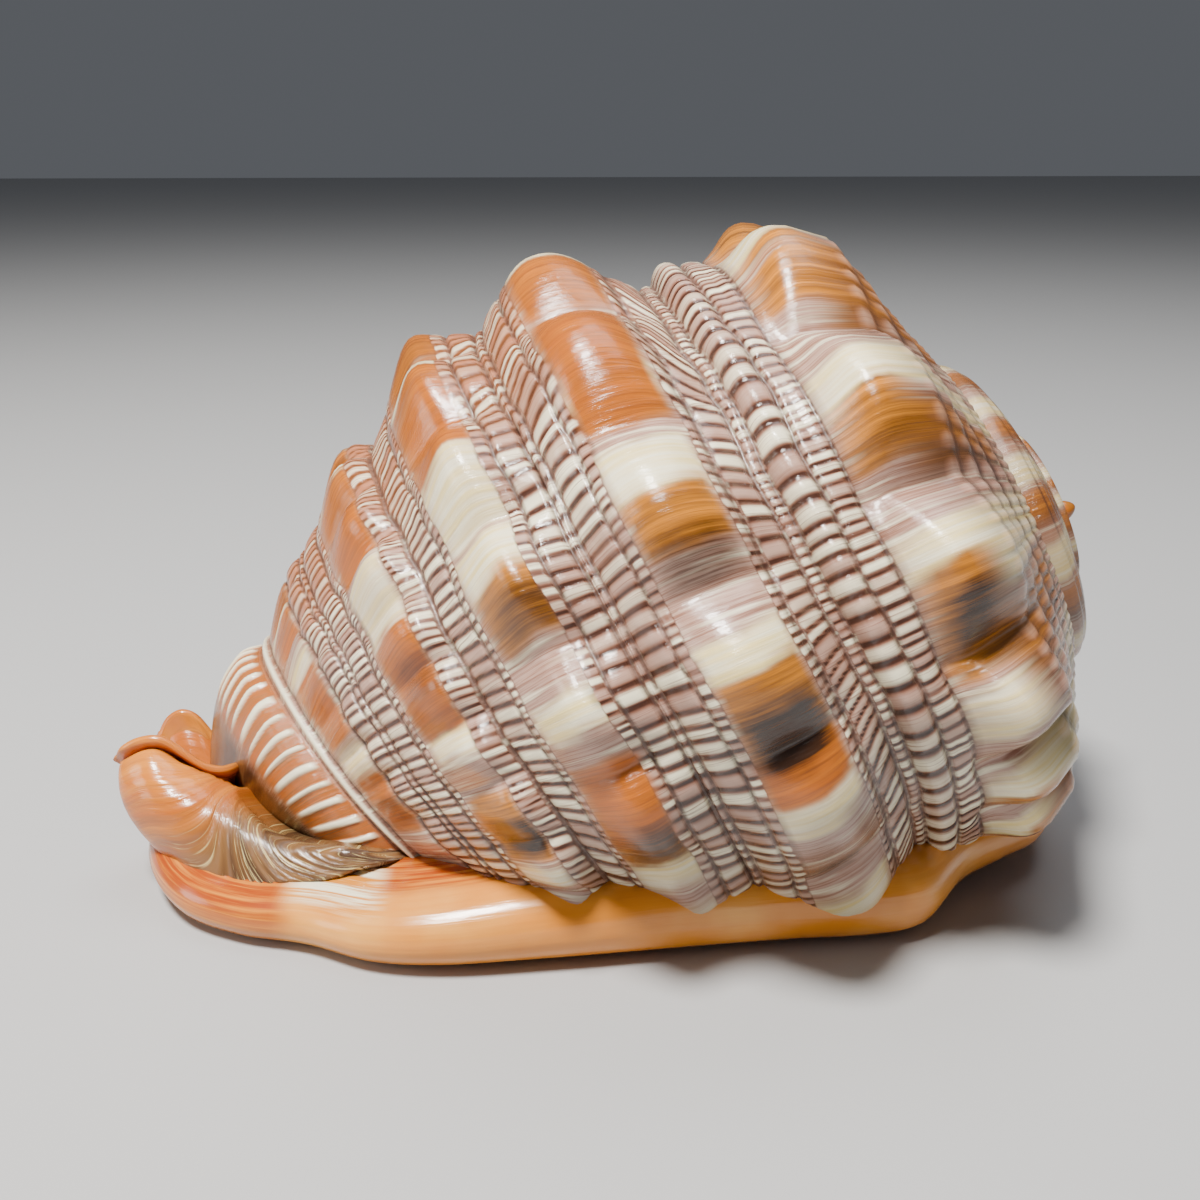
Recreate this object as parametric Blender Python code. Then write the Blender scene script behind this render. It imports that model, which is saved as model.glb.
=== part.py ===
# Bullmouth helmet shell, resting on its flat aperture side.
# Axes: +X spire end, -X canal end, -Y shield side, +Y outer lip side, +Z up.
# The coil is a growing spiral about a tilted axis. Lengths below are in millimetres.
import math

import bmesh
import bpy
from mathutils import Vector

MM = 0.001

# Driving sizes
APEX = (72.0, 0.0, 50.0)
AXIS_TILT_DEG = 24.0
GROWTH_PER_TURN = 2.0
STEP_DEG = 5.0
LAST_DEG = 345.0
TURNS = 2.9
CUT_HEIGHT = 5.6
WALL = 5.0
HEIGHT_POWER = 0.75
SPIRE_LEAN = 0.06
KNOB_LENGTH_SHARE = 0.62
KNOB_WIDTH_SHARE = 1.6
KNOB_SINK = 0.55
KNOB_LENGTH_POWER = 1.3
KNOB_WIDTH_POWER = 1.2
SHOULDER_KNOB_LEAN = 0.4
LIP_SWELL = 2.6
LIP_SWELL_DEG = (268.0, 288.0)

# The tuck under the belly: height it starts at, its depth, its reach, its direction
TUCK_TOP = 42.0
TUCK_DEPTH = 24.0
TUCK_LIMIT = 1.25
TUCK_POWER = 1.7
TUCK_REACH = 12.0
TUCK_WAY = Vector((0.03, 0.83, -0.56))

tilt = math.radians(AXIS_TILT_DEG)
AXIS = Vector((math.cos(tilt), 0.0, math.sin(tilt)))
BACK = Vector((-math.sin(tilt), 0.0, math.cos(tilt)))
SIDE = Vector((0.0, 1.0, 0.0))

# Height of the shoulder row below the apex for each size of the coil
SHOULDER_PATH = [(0.02, 0.1), (0.06, 0.5), (0.125, 1.3), (0.25, 2.9), (0.35, 5.6), (0.5, 10.4),
                 (0.6, 16.0), (0.707, 20.2), (0.84, 23.8), (1.0, 26.3), (1.2, 28.7)]

# Ramp from the suture to the shoulder: share of radius, share of height
RAMP = [(0.0, 0.0), (0.22, 0.14), (0.46, 0.32), (0.70, 0.50), (0.88, 0.70)]

# Rows down the last whorl at full size: distance along the axis, radius
ROWS = [(26.3, 55.0), (29.2, 55.6), (33.0, 54.4), (36.6, 55.4), (40.0, 56.2), (43.6, 54.8),
        (48.2, 58.4), (51.8, 61.8), (55.4, 63.4), (59.6, 63.6), (64.0, 61.6), (68.3, 58.8),
        (72.8, 58.9), (77.5, 60.0), (82.2, 56.6), (88.8, 50.8), (92.4, 50.6), (95.6, 49.4),
        (101.5, 43.8), (106.5, 40.2), (111.6, 36.0), (117.9, 30.0), (122.8, 29.8), (128.4, 26.0),
        (133.0, 19.5), (137.0, 12.0)]
POLE = 152.0
SPIRE_ROWS = 2
FIRST_KNOB_DEG = 40.0

# Knob rows: distance along the axis, half width, height, angles of the knobs round the coil
KNOB_ROWS = [
    (26.3, 6.0, 8.0, (62.0, 74.0, 87.5, 112.5, 139.5, 170.5, 204.0, 226.0, 247.0, 267.0, 287.0)),
    (55.4, 6.6, 6.6, (48.0, 69.0, 90.5, 111.0, 133.0, 157.5, 179.0, 201.0, 222.0, 242.0, 262.0, 282.0)),
    (77.5, 6.0, 5.4, (62.0, 80.0, 97.5, 114.0, 133.0, 152.5, 170.5, 189.0, 207.0, 225.0, 242.0, 259.0, 276.0)),
    (95.6, 4.6, 3.6, (78.0, 91.0, 104.5, 115.5, 126.5, 137.0, 150.5, 161.5, 177.5, 190.0, 203.0, 216.0, 229.0,
                      242.0, 255.0, 268.0)),
    (111.6, 3.8, 2.4, (101.0, 114.5, 124.0, 133.0, 147.0, 158.5, 172.0, 186.5, 200.0, 214.0, 228.0, 242.0)),
]


def lerp_table(table, x):
    if x <= table[0][0]:
        return table[0][1]
    for (x0, y0), (x1, y1) in zip(table, table[1:]):
        if x <= x1:
            return y0 + (y1 - y0) * (x - x0) / (x1 - x0)
    return table[-1][1]


def smooth(x, low, high):
    t = min(1.0, max(0.0, (x - low) / (high - low)))
    return t * t * (3.0 - 2.0 * t)


def coil_size(deg):
    if deg < 165.0:
        power = (deg - 180.0) / 360.0
    else:
        power = -15.0 / 360.0 + 0.09 * math.tanh((deg - 165.0) / 360.0 / 0.09)
        power -= 0.12 * max(0.0, (deg - 210.0) / 75.0) ** 2
    return GROWTH_PER_TURN ** power


def shoulder_height(deg):
    # The early whorls lean a little towards the back of the shell
    size = coil_size(deg)
    logs = [(math.log(s), h) for s, h in SHOULDER_PATH]
    lean = SPIRE_LEAN * ROWS[0][1] * size * math.cos(math.radians(deg)) * (1.0 - smooth(size, 0.6, 0.9))
    return lerp_table(logs, math.log(size)) + lean


def spiral_point(deg, down, radius):
    ang = math.radians(deg)
    out = -math.cos(ang) * BACK - math.sin(ang) * SIDE
    return Vector(APEX) + radius * out - down * AXIS


def tuck(point):
    # Draws the lower near side of the whorl in under the belly, down and away from the near side
    depth = min(TUCK_LIMIT, max(0.0, (TUCK_TOP - point.z) / TUCK_DEPTH))
    share = smooth(point.x, -6.0, 12.0) * smooth(-point.y, 4.0, 24.0)
    return point + TUCK_REACH * depth ** TUCK_POWER * share * TUCK_WAY


def knob_lift(deg, down):
    lift = 0.0
    for row, half, height, angles in KNOB_ROWS:
        across = abs(down - row) / (half * KNOB_WIDTH_SHARE)
        if across >= 1.0:
            continue
        best = 0.0
        for k, centre in enumerate(angles):
            before = centre - angles[k - 1] if k > 0 else angles[1] - angles[0]
            after = angles[k + 1] - centre if k + 1 < len(angles) else before
            gap = before if deg < centre else after
            along = abs(deg - centre) / (gap * KNOB_LENGTH_SHARE)
            if along < 1.0:
                best = max(best, math.cos(0.5 * math.pi * along) ** KNOB_LENGTH_POWER)
        lift += height * (best - KNOB_SINK) * math.cos(0.5 * math.pi * across) ** KNOB_WIDTH_POWER
    return lift


def whorl_profile(deg, rows):
    size = coil_size(deg)
    inner = coil_size(deg - 360.0)
    base = shoulder_height(deg)
    start = (shoulder_height(deg - 360.0) + inner ** HEIGHT_POWER * (ROWS[1][0] - ROWS[0][0]),
             ROWS[1][1] * inner)
    end = (base, ROWS[0][1] * size)
    pts = []
    for share_r, share_h in RAMP:
        pts.append((start[0] + (end[0] - start[0]) * share_h, start[1] + (end[1] - start[1]) * share_r))
    lip = LIP_SWELL * smooth(deg, *LIP_SWELL_DEG)
    for down, radius in ROWS[:rows]:
        bump = knob_lift(deg, down) if deg > FIRST_KNOB_DEG else 0.0
        if rows > SPIRE_ROWS:
            radius = radius + bump + lip
        forward = SHOULDER_KNOB_LEAN * bump * (1.0 - smooth(down, 30.0, 40.0))
        pts.append((base + size ** HEIGHT_POWER * (down - ROWS[0][0] - forward), radius * size))
    return pts


def body_point(deg, down, radius):
    return tuck(spiral_point(deg, down, radius)) * MM


def new_object(name, bm):
    mesh = bpy.data.meshes.new(name)
    bm.to_mesh(mesh)
    bm.free()
    obj = bpy.data.objects.new(name, mesh)
    bpy.context.scene.collection.objects.link(obj)
    return obj


def grid_surface(bm, columns):
    # columns is a list of equal lists of points
    nu = len(columns)
    nv = len(columns[0])
    made = bmesh.ops.create_grid(bm, x_segments=nv - 1, y_segments=nu - 1, size=1.0)
    verts = sorted(made["verts"], key=lambda v: (round(v.co.y, 5), round(v.co.x, 5)))
    for k, vert in enumerate(verts):
        vert.co = columns[k // nv][k % nv]
    return verts


def clear_scene():
    for obj in list(bpy.data.objects):
        bpy.data.objects.remove(obj, do_unlink=True)


def build_coil():
    bm = bmesh.new()
    turn = int(round(360.0 / STEP_DEG))
    first = LAST_DEG - round(TURNS * turn) * STEP_DEG
    count = int(round((LAST_DEG - first) / STEP_DEG))
    angles = [first + STEP_DEG * k for k in range(count + 1)]
    split = count - turn
    spire = []
    for deg in angles[:split + 1]:
        prof = whorl_profile(deg, SPIRE_ROWS)
        spire.append([body_point(deg, h, r) for h, r in prof])
    grid_surface(bm, spire)
    body = []
    for deg in angles[split:]:
        prof = whorl_profile(deg, len(ROWS))
        col = [body_point(deg, h, r) for h, r in prof]
        col.append(spiral_point(deg, POLE, 0.0) * MM)
        body.append(col)
    grid_surface(bm, body)
    return bm


def close_and_trim(bm):
    bmesh.ops.remove_doubles(bm, verts=bm.verts[:], dist=2e-6)
    filled = bmesh.ops.holes_fill(bm, edges=[e for e in bm.edges if e.is_boundary], sides=0)["faces"]
    tip = min(filled, key=lambda f: (f.calc_center_median() - Vector(APEX) * MM).length)
    centre = bmesh.ops.poke(bm, faces=[tip])["verts"][0]
    centre.co = Vector(APEX) * MM
    bmesh.ops.triangulate(bm, faces=[f for f in bm.faces if len(f.verts) > 4])
    bmesh.ops.bisect_plane(bm, geom=bm.verts[:] + bm.edges[:] + bm.faces[:], dist=1e-6,
                           plane_co=(0.0, 0.0, CUT_HEIGHT * MM), plane_no=(0.0, 0.0, -1.0), clear_outer=True)
    rim = [e for e in bm.edges if e.is_boundary]
    bmesh.ops.contextual_create(bm, geom=rim)
    bmesh.ops.triangulate(bm, faces=bm.faces[:])
    bmesh.ops.recalc_face_normals(bm, faces=bm.faces[:])


def catmull(points, per_span, closed=True):
    out = []
    n = len(points)
    spans = n if closed else n - 1
    for k in range(spans):
        if closed:
            p0, p1, p2, p3 = (points[(k + d - 1) % n] for d in range(4))
        else:
            p0, p1, p2, p3 = (points[min(n - 1, max(0, k + d - 1))] for d in range(4))
        for s in range(per_span):
            t = s / per_span
            row = []
            for a, b, c, d in zip(p0, p1, p2, p3):
                row.append(0.5 * (2 * b + (c - a) * t + (2 * a - 5 * b + 4 * c - d) * t * t
                                  + (3 * b - a - 3 * c + d) * t ** 3))
            out.append(tuple(row))
    if not closed:
        out.append(tuple(points[-1]))
    return out


# Edge of the flat underside: x, y of the outermost line, its height, half thickness, roll depth
SHIELD_EDGE = [
    (-65.5, -6.0, 4.4, 3.4, 4.0), (-63.0, -18.0, 4.2, 3.4, 4.0), (-57.0, -27.0, 3.8, 3.4, 4.0),
    (-48.5, -32.0, 3.5, 3.5, 4.5), (-39.0, -35.0, 3.8, 3.8, 5.0), (-30.0, -39.6, 4.2, 4.2, 5.5),
    (-20.0, -41.4, 4.8, 4.8, 6.0), (-6.0, -41.0, 5.6, 5.6, 6.0), (9.0, -40.0, 6.3, 6.3, 6.0),
    (25.0, -38.8, 6.4, 6.4, 6.0), (38.0, -38.3, 6.3, 6.3, 6.0), (46.0, -36.0, 6.4, 6.0, 5.5),
    (53.5, -28.0, 7.2, 5.2, 5.0), (61.0, -23.5, 7.6, 4.6, 4.5), (68.0, -18.5, 7.6, 4.0, 4.0),
    (72.5, -7.0, 8.0, 3.6, 4.0)]
LIP_EDGE = [
    (73.5, 8.0, 8.2, 4.0, 4.0), (71.5, 21.0, 8.0, 5.4, 5.0), (65.5, 34.0, 8.0, 7.2, 6.0),
    (55.0, 45.0, 8.0, 8.0, 7.0), (43.0, 53.0, 8.2, 8.2, 8.0), (29.0, 58.5, 8.5, 8.5, 9.0),
    (13.0, 59.5, 8.5, 8.5, 9.0), (-3.0, 56.0, 8.0, 8.0, 8.5), (-18.0, 49.5, 7.5, 7.5, 8.0),
    (-32.0, 42.0, 7.0, 7.0, 7.0), (-45.0, 32.0, 6.4, 6.4, 6.0), (-55.5, 21.0, 5.6, 5.4, 5.0),
    (-62.5, 8.0, 4.8, 4.0, 4.5)]

# Middle line of the aperture: x, y, half width
APERTURE = [(-50.0, 0.0, 4.2), (-36.0, 4.5, 4.4), (-18.0, 10.5, 4.6), (4.0, 14.5, 4.6), (26.0, 15.0, 4.2),
            (42.0, 12.0, 3.4), (54.0, 7.0, 2.6)]
TOOTH_PITCH = 4.4
TOOTH_DEPTH = 1.2
MIDDLE_RISE = 2.4
SPINE_SHARE = 0.78
SPINE_GAP = 1.5
SLAB_RISE = 2.5
ROLL_STEPS = 6
FOLD_SHARE = 0.6
APERTURE_CUT = (-5.0, 12.0)


def aperture_at(x):
    table_y = [(a, b) for a, b, c in APERTURE]
    table_w = [(a, c) for a, b, c in APERTURE]
    return lerp_table(table_y, x), lerp_table(table_w, x)


def build_shield():
    edge = catmull(SHIELD_EDGE + LIP_EDGE, 3)
    n = len(edge)
    cols = []
    for k in range(n):
        x, y, zc, half, deep = edge[k]
        ax, ay = edge[(k - 1) % n][:2]
        bx, by = edge[(k + 1) % n][:2]
        tangent = Vector((bx - ax, by - ay, 0.0)).normalized()
        inward = Vector((-tangent.y, tangent.x, 0.0))
        xs = x * SPINE_SHARE
        ys, ws = aperture_at(xs)
        spine = Vector((xs, ys, 0.0))
        off = Vector((x, y, 0.0)) - spine
        spine = spine + off.normalized() * SPINE_GAP
        start = Vector((x, y, 0.0)) + inward * deep
        half = min(half, zc)
        low = zc - half
        col = []
        for share in (1.0, 0.9, 0.8):
            p = start.lerp(spine, share)
            p.z = low + (max(low, MIDDLE_RISE) - low) * smooth(share, 0.8, 1.0)
            col.append(p * MM)
        for step in range(ROLL_STEPS + 1):
            a = math.radians(-90.0 + 180.0 * step / ROLL_STEPS)
            p = Vector((x, y, 0.0)) + inward * deep * (1.0 - math.cos(a))
            p.z = zc + half * math.sin(a)
            col.append(p * MM)
        top = spine.copy()
        top.z = zc + half + SLAB_RISE
        col.append(top * MM)
        cols.append(col)
    cols.append(cols[0])
    bm = bmesh.new()
    grid_surface(bm, cols)
    bmesh.ops.remove_doubles(bm, verts=bm.verts[:], dist=2e-6)
    bmesh.ops.holes_fill(bm, edges=[e for e in bm.edges if e.is_boundary], sides=0)
    bmesh.ops.triangulate(bm, faces=bm.faces[:])
    bmesh.ops.recalc_face_normals(bm, faces=bm.faces[:])
    return bm


def build_rings(rings):
    # Closed solid through equal closed rings, capped at both ends
    cols = [ring + [ring[0]] for ring in rings]
    bm = bmesh.new()
    grid_surface(bm, cols)
    bmesh.ops.remove_doubles(bm, verts=bm.verts[:], dist=2e-6)
    bmesh.ops.holes_fill(bm, edges=[e for e in bm.edges if e.is_boundary], sides=0)
    bmesh.ops.triangulate(bm, faces=bm.faces[:])
    bmesh.ops.recalc_face_normals(bm, faces=bm.faces[:])
    return bm


SPOUT_CENTRE = (-57.0, -1.5)
SPOUT_HALF = (10.5, 12.5)
SPOUT_TOP = [(-68.0, 19.6), (-64.0, 20.8), (-60.6, 21.8), (-56.0, 19.6), (-52.0, 16.0), (-46.0, 12.0)]
SPOUT_BOTTOM = 1.5
SPOUT_SIDES = 24
SPOUT_SQUARE = 0.75
FAR_WALL_DROP = 5.0
# Share of the height, share of the width
SPOUT_RINGS = [(0.0, 0.96), (0.2, 1.02), (0.45, 1.04), (0.7, 0.97), (0.88, 0.93), (1.0, 0.98)]


def build_spout():
    rings = []
    for share, spread in SPOUT_RINGS:
        ring = []
        for k in range(SPOUT_SIDES):
            a = 2.0 * math.pi * k / SPOUT_SIDES
            c, s = math.cos(a), math.sin(a)
            x = SPOUT_CENTRE[0] + SPOUT_HALF[0] * spread * math.copysign(abs(c) ** SPOUT_SQUARE, c)
            y = SPOUT_CENTRE[1] + SPOUT_HALF[1] * spread * math.copysign(abs(s) ** SPOUT_SQUARE, s)
            top = lerp_table(SPOUT_TOP, x) - FAR_WALL_DROP * smooth(y, -8.0, 8.0)
            ring.append(Vector((x, y, SPOUT_BOTTOM + (top - SPOUT_BOTTOM) * share)) * MM)
        rings.append(ring)
    return build_rings(rings)


# Levels of the canal: height, near wall, far wall, back wall
CANAL_LEVELS = [(-4.0, -4.4, 4.6, -46.0), (4.0, -4.6, 4.8, -50.0), (12.0, -7.0, 6.6, -54.5),
                (20.0, -9.6, 8.8, -55.0), (30.0, -12.0, 11.0, -55.0)]
CANAL_FRONT = -85.0


def build_canal_cutter():
    # Channel that runs forward from the aperture and turns up, open in front and above
    rings = []
    for z, near, far, back in CANAL_LEVELS:
        ring = []
        mid = 0.5 * (near + far)
        half = 0.5 * (far - near)
        for k in range(9):
            a = math.radians(-90.0 + 22.5 * k)
            ring.append(Vector((back - half + half * math.cos(a), mid + half * math.sin(a), z)) * MM)
        ring.append(Vector((CANAL_FRONT, far + 1.0, z)) * MM)
        ring.append(Vector((CANAL_FRONT, near - 1.0, z)) * MM)
        rings.append(ring)
    return build_rings(rings)


RIDGE_PATH = [(-61.0, -12.0, 11.0, 5.0), (-56.0, -15.5, 10.5, 6.4), (-50.0, -19.5, 9.4, 5.6),
              (-44.0, -22.6, 8.8, 4.2), (-37.0, -25.0, 9.2, 3.0), (-28.0, -26.5, 9.6, 1.6)]
RIDGE_SIDES = 10


def build_ridge():
    path = catmull(RIDGE_PATH, 2, closed=False)
    rings = []
    for k, (x, y, z, radius) in enumerate(path):
        a = Vector(path[max(0, k - 1)][:3])
        b = Vector(path[min(len(path) - 1, k + 1)][:3])
        along = (b - a).normalized()
        side = along.cross(Vector((0.0, 0.0, 1.0))).normalized()
        up = side.cross(along)
        ring = []
        for s in range(RIDGE_SIDES):
            t = 2.0 * math.pi * s / RIDGE_SIDES
            ring.append((Vector((x, y, z)) + radius * (math.cos(t) * side + math.sin(t) * up)) * MM)
        rings.append(ring)
    return build_rings(rings)


def build_aperture_cutter():
    near, far = [], []
    start, end = APERTURE[0][0], APERTURE[-1][0]
    steps = int(round((end - start) / TOOTH_PITCH)) * 3
    for k in range(steps + 1):
        x = start + (end - start) * k / steps
        y, w = aperture_at(x)
        wave = (0.0, 1.0, -1.0)[k % 3]
        fade = smooth(x, -46.0, -36.0) * smooth(-x, -52.0, -44.0)
        far.append((x, y + w + TOOTH_DEPTH * wave * fade))
        near.append((x, y - w + FOLD_SHARE * TOOTH_DEPTH * wave * fade))
    rings = []
    for z in APERTURE_CUT:
        rings.append([Vector((x, y, z)) * MM for x, y in near + far[::-1]])
    return build_rings(rings)


CAVITY_ROWS = (36.0, 46.0, 56.0, 67.0, 78.0, 89.0, 99.0, 107.0)
CAVITY_INNER = [(135.0, 31.0), (180.0, 30.0), (225.0, 24.0), (270.0, 16.0), (300.0, 11.5), (340.0, 8.0)]
CAVITY_FLOOR = 8.0
CAVITY_STATIONS = (132.0, 138.0, 152.0, 167.0, 182.0, 196.0, 212.0, 228.0, 244.0, 258.0, 270.0, 282.0, 294.0,
                   306.0, 318.0, 330.0, 338.0)
CAVITY_LAST_SIZE_DEG = 290.0
CAVITY_CORE_TAPER = 0.45
CAVITY_CREST_DROP = 4.0


def build_cavity():
    rings = []
    for deg in CAVITY_STATIONS:
        size = coil_size(min(deg, CAVITY_LAST_SIZE_DEG))
        base = shoulder_height(min(deg, CAVITY_LAST_SIZE_DEG))
        close = 0.3 + 0.7 * smooth(deg, 125.0, 190.0)
        inner_r = lerp_table(CAVITY_INNER, deg)
        outer, inner = [], []
        for down in CAVITY_ROWS:
            dist = base + size ** HEIGHT_POWER * (down - ROWS[0][0])
            core = inner_r * (1.0 - CAVITY_CORE_TAPER * smooth(down, 70.0, 108.0))
            wall = (lerp_table(ROWS, down) - CAVITY_CREST_DROP) * size - WALL
            facing = -math.cos(math.radians(deg)) * BACK.z
            if facing < -0.05:
                axis_z = APEX[2] - dist * AXIS.z
                wall = min(wall, max(core + 3.0, (axis_z - CAVITY_FLOOR) / -facing))
            wall = core + (wall - core) * close
            outer.append(spiral_point(deg, dist, wall) * MM)
            inner.append(spiral_point(deg, dist, core) * MM)
        rings.append(outer + inner[::-1])
    return build_rings(rings)


def shell_material():
    mat = bpy.data.materials.new("glossy_shell")
    mat.use_nodes = True
    shader = mat.node_tree.nodes["Principled BSDF"]
    shader.inputs["Base Color"].default_value = (0.62, 0.42, 0.33, 1.0)
    shader.inputs["Roughness"].default_value = 0.28
    shader.inputs["Metallic"].default_value = 0.0
    return mat


def add_boolean(obj, other, operation):
    mod = obj.modifiers.new(other.name, "BOOLEAN")
    mod.object = other
    mod.operation = operation
    mod.solver = "EXACT"
    other.hide_render = True
    other.display_type = "WIRE"


def main():
    clear_scene()
    bm = build_coil()
    close_and_trim(bm)
    shell = new_object("helmet_shell", bm)
    shell.data.materials.append(shell_material())
    for name, builder, operation in (("guide_shield", build_shield, "UNION"),
                                     ("guide_spout", build_spout, "UNION"),
                                     ("guide_ridge", build_ridge, "UNION"),
                                     ("cutter_canal", build_canal_cutter, "DIFFERENCE"),
                                     ("cutter_cavity", build_cavity, "DIFFERENCE"),
                                     ("cutter_aperture", build_aperture_cutter, "DIFFERENCE")):
        add_boolean(shell, new_object(name, builder()), operation)
    shell.data.shade_smooth()


main()
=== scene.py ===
import math

import bmesh
import bpy
import numpy as np
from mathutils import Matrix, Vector


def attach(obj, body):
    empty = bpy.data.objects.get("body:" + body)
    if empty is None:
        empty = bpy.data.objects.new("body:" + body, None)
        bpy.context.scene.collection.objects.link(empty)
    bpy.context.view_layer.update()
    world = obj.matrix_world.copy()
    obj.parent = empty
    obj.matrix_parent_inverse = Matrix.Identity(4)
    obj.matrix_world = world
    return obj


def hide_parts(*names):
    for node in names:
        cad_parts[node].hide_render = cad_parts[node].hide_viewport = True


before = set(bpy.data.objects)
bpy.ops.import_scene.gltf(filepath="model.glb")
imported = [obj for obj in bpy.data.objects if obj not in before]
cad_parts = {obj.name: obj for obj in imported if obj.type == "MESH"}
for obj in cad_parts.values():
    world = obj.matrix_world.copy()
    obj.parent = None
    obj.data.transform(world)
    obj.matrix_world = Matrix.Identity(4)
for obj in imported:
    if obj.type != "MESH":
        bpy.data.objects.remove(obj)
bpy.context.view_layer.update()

# Bullmouth helmet shell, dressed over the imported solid. Sizes in the tables are millimetres.
# The shell is a coil: an angle round the axis in degrees and a way down the axis from the apex.
mm = 0.001

palette = {
    "lavender": (0.46, 0.285, 0.215), "mauve": (0.26, 0.118, 0.078), "cream": (0.86, 0.68, 0.28),
    "creamWhite": (0.93, 0.86, 0.62), "honey": (0.64, 0.225, 0.016), "golden": (0.29, 0.098, 0.009),
    "darkBrown": (0.034, 0.013, 0.005), "orange": (0.47, 0.108, 0.009), "terracotta": (0.35, 0.110, 0.026),
    "maroon": (0.055, 0.021, 0.013), "peach": (0.70, 0.235, 0.022), "palePeach": (0.84, 0.38, 0.075),
    "deepOrange": (0.36, 0.055, 0.005), "tan": (0.22, 0.105, 0.036), "umber": (0.070, 0.034, 0.017),
}


def smooth(x, low, high):
    t = np.clip((np.asarray(x, float) - low) / (high - low), 0.0, 1.0)
    return t * t * (3.0 - 2.0 * t)


def curveTable(points, perSpan, closed=False):
    # points on a rounded curve through the given ones, all their numbers at once
    pts = np.array(points, float)
    last = len(pts) - 1
    out = []
    for k in range(len(pts) if closed else last):
        near = [(k + j - 1) % len(pts) if closed else min(last, max(0, k + j - 1)) for j in range(4)]
        a, b, c, d = pts[near]
        for s in range(perSpan):
            t = s / perSpan
            out.append(0.5 * (2 * b + (c - a) * t + (2 * a - 5 * b + 4 * c - d) * t * t
                              + (3 * b - a - 3 * c + d) * t ** 3))
    if not closed:
        out.append(pts[-1])
    return np.array(out)


# camera, floor and light
view = {"place": (-0.007276, -0.183616, 0.105267), "azimuth": -3.132, "elevation": 20.282, "lens": 38.962}

camera = bpy.data.objects.new("photoCamera", bpy.data.cameras.new("photoCamera"))
bpy.context.scene.collection.objects.link(camera)
camera.location = view["place"]
camera.rotation_euler = (math.radians(90.0 - view["elevation"]), 0.0, math.radians(view["azimuth"]))
camera.data.lens = view["lens"]
camera.data.sensor_width = 36.0
camera.data.clip_start = 0.01
bpy.context.scene.camera = camera

studio = {
    "floor": (0.42, 0.42, 0.42), "world": (0.85, 0.90, 1.0), "worldStrength": 0.12, "floorDrop": -0.0002,
    # name, place, aims at, size, watts, colour
    "lights": [("keyWindow", (-0.16, -0.20, 0.66), (0.0, 0.0, 0.04), 0.16, 12.5, (1.0, 0.97, 0.93)),
               ("skyPanel", (0.15, 0.20, 0.80), (0.0, 0.0, 0.03), 0.50, 2.6, (0.93, 0.96, 1.0)),
               ("sideCard", (-0.70, -0.15, 0.25), (-0.02, 0.0, 0.03), 0.35, 2.0, (1.0, 0.95, 0.88))],
}


def aim(obj, place, target):
    obj.location = place
    obj.rotation_euler = (Vector(target) - Vector(place)).to_track_quat("-Z", "Y").to_euler()


def makeStudio():
    world = bpy.data.worlds.new("studioWorld")
    world.use_nodes = True
    background = world.node_tree.nodes["Background"]
    background.inputs["Color"].default_value = (*studio["world"], 1.0)
    background.inputs["Strength"].default_value = studio["worldStrength"]
    bpy.context.scene.world = world
    for name, place, target, size, watts, tint in studio["lights"]:
        lamp = bpy.data.lights.new(name, "AREA")
        lamp.shape = "DISK"
        lamp.size = size
        lamp.energy = watts
        lamp.color = tint
        obj = bpy.data.objects.new(name, lamp)
        bpy.context.scene.collection.objects.link(obj)
        aim(obj, place, target)
    bm = bmesh.new()
    bmesh.ops.create_grid(bm, x_segments=2, y_segments=2, size=2.5)
    bmesh.ops.translate(bm, verts=bm.verts[:], vec=(0.0, 0.0, studio["floorDrop"]))
    floor = linkPiece("studioFloor", bm)
    mat = bpy.data.materials.new("floorPaper")
    mat.use_nodes = True
    shader = mat.node_tree.nodes["Principled BSDF"]
    shader.inputs["Base Color"].default_value = (*studio["floor"], 1.0)
    shader.inputs["Roughness"].default_value = 0.85
    floor.data.materials.append(mat)


def linkPiece(name, bm):
    mesh = bpy.data.meshes.new(name)
    bm.to_mesh(mesh)
    bm.free()
    obj = bpy.data.objects.new(name, mesh)
    bpy.context.scene.collection.objects.link(obj)
    return obj


makeStudio()
print("camera, floor and light are set")

# the coil that every part of the shell follows
coil = {"apex": (72.0, 0.0, 50.0), "tiltDeg": 24.0, "growthPerTurn": 2.0, "lastDeg": 345.0,
        "heightPower": 0.75, "spireLean": 0.06, "cutHeight": 5.6}
# size of the coil, height of its shoulder below the apex
shoulderPath = [(0.02, 0.1), (0.06, 0.5), (0.125, 1.3), (0.25, 2.9), (0.35, 5.6), (0.5, 10.4),
                (0.6, 16.0), (0.707, 20.2), (0.84, 23.8), (1.0, 26.3), (1.2, 28.7)]
# share of the radius, share of the height, from the suture out to the shoulder
rampShape = [(0.0, 0.0), (0.22, 0.14), (0.46, 0.32), (0.70, 0.50), (0.88, 0.70), (1.0, 1.0)]
# distance down the axis, radius, at full size
whorlRows = [(26.3, 55.0), (29.2, 55.6), (33.0, 54.4), (36.6, 55.4), (40.0, 56.2), (43.6, 54.8),
             (48.2, 58.4), (51.8, 61.8), (55.4, 63.4), (59.6, 63.6), (64.0, 61.6), (68.3, 58.8),
             (72.8, 58.9), (77.5, 60.0), (82.2, 56.6), (88.8, 50.8), (92.4, 50.6), (95.6, 49.4),
             (101.5, 43.8), (106.5, 40.2), (111.6, 36.0), (117.9, 30.0), (122.8, 29.8), (128.4, 26.0),
             (133.0, 19.5), (137.0, 12.0)]
shoulder = whorlRows[0][0]
# the way down at which the ramp above the shoulder starts
rampTop = 20.0
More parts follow.
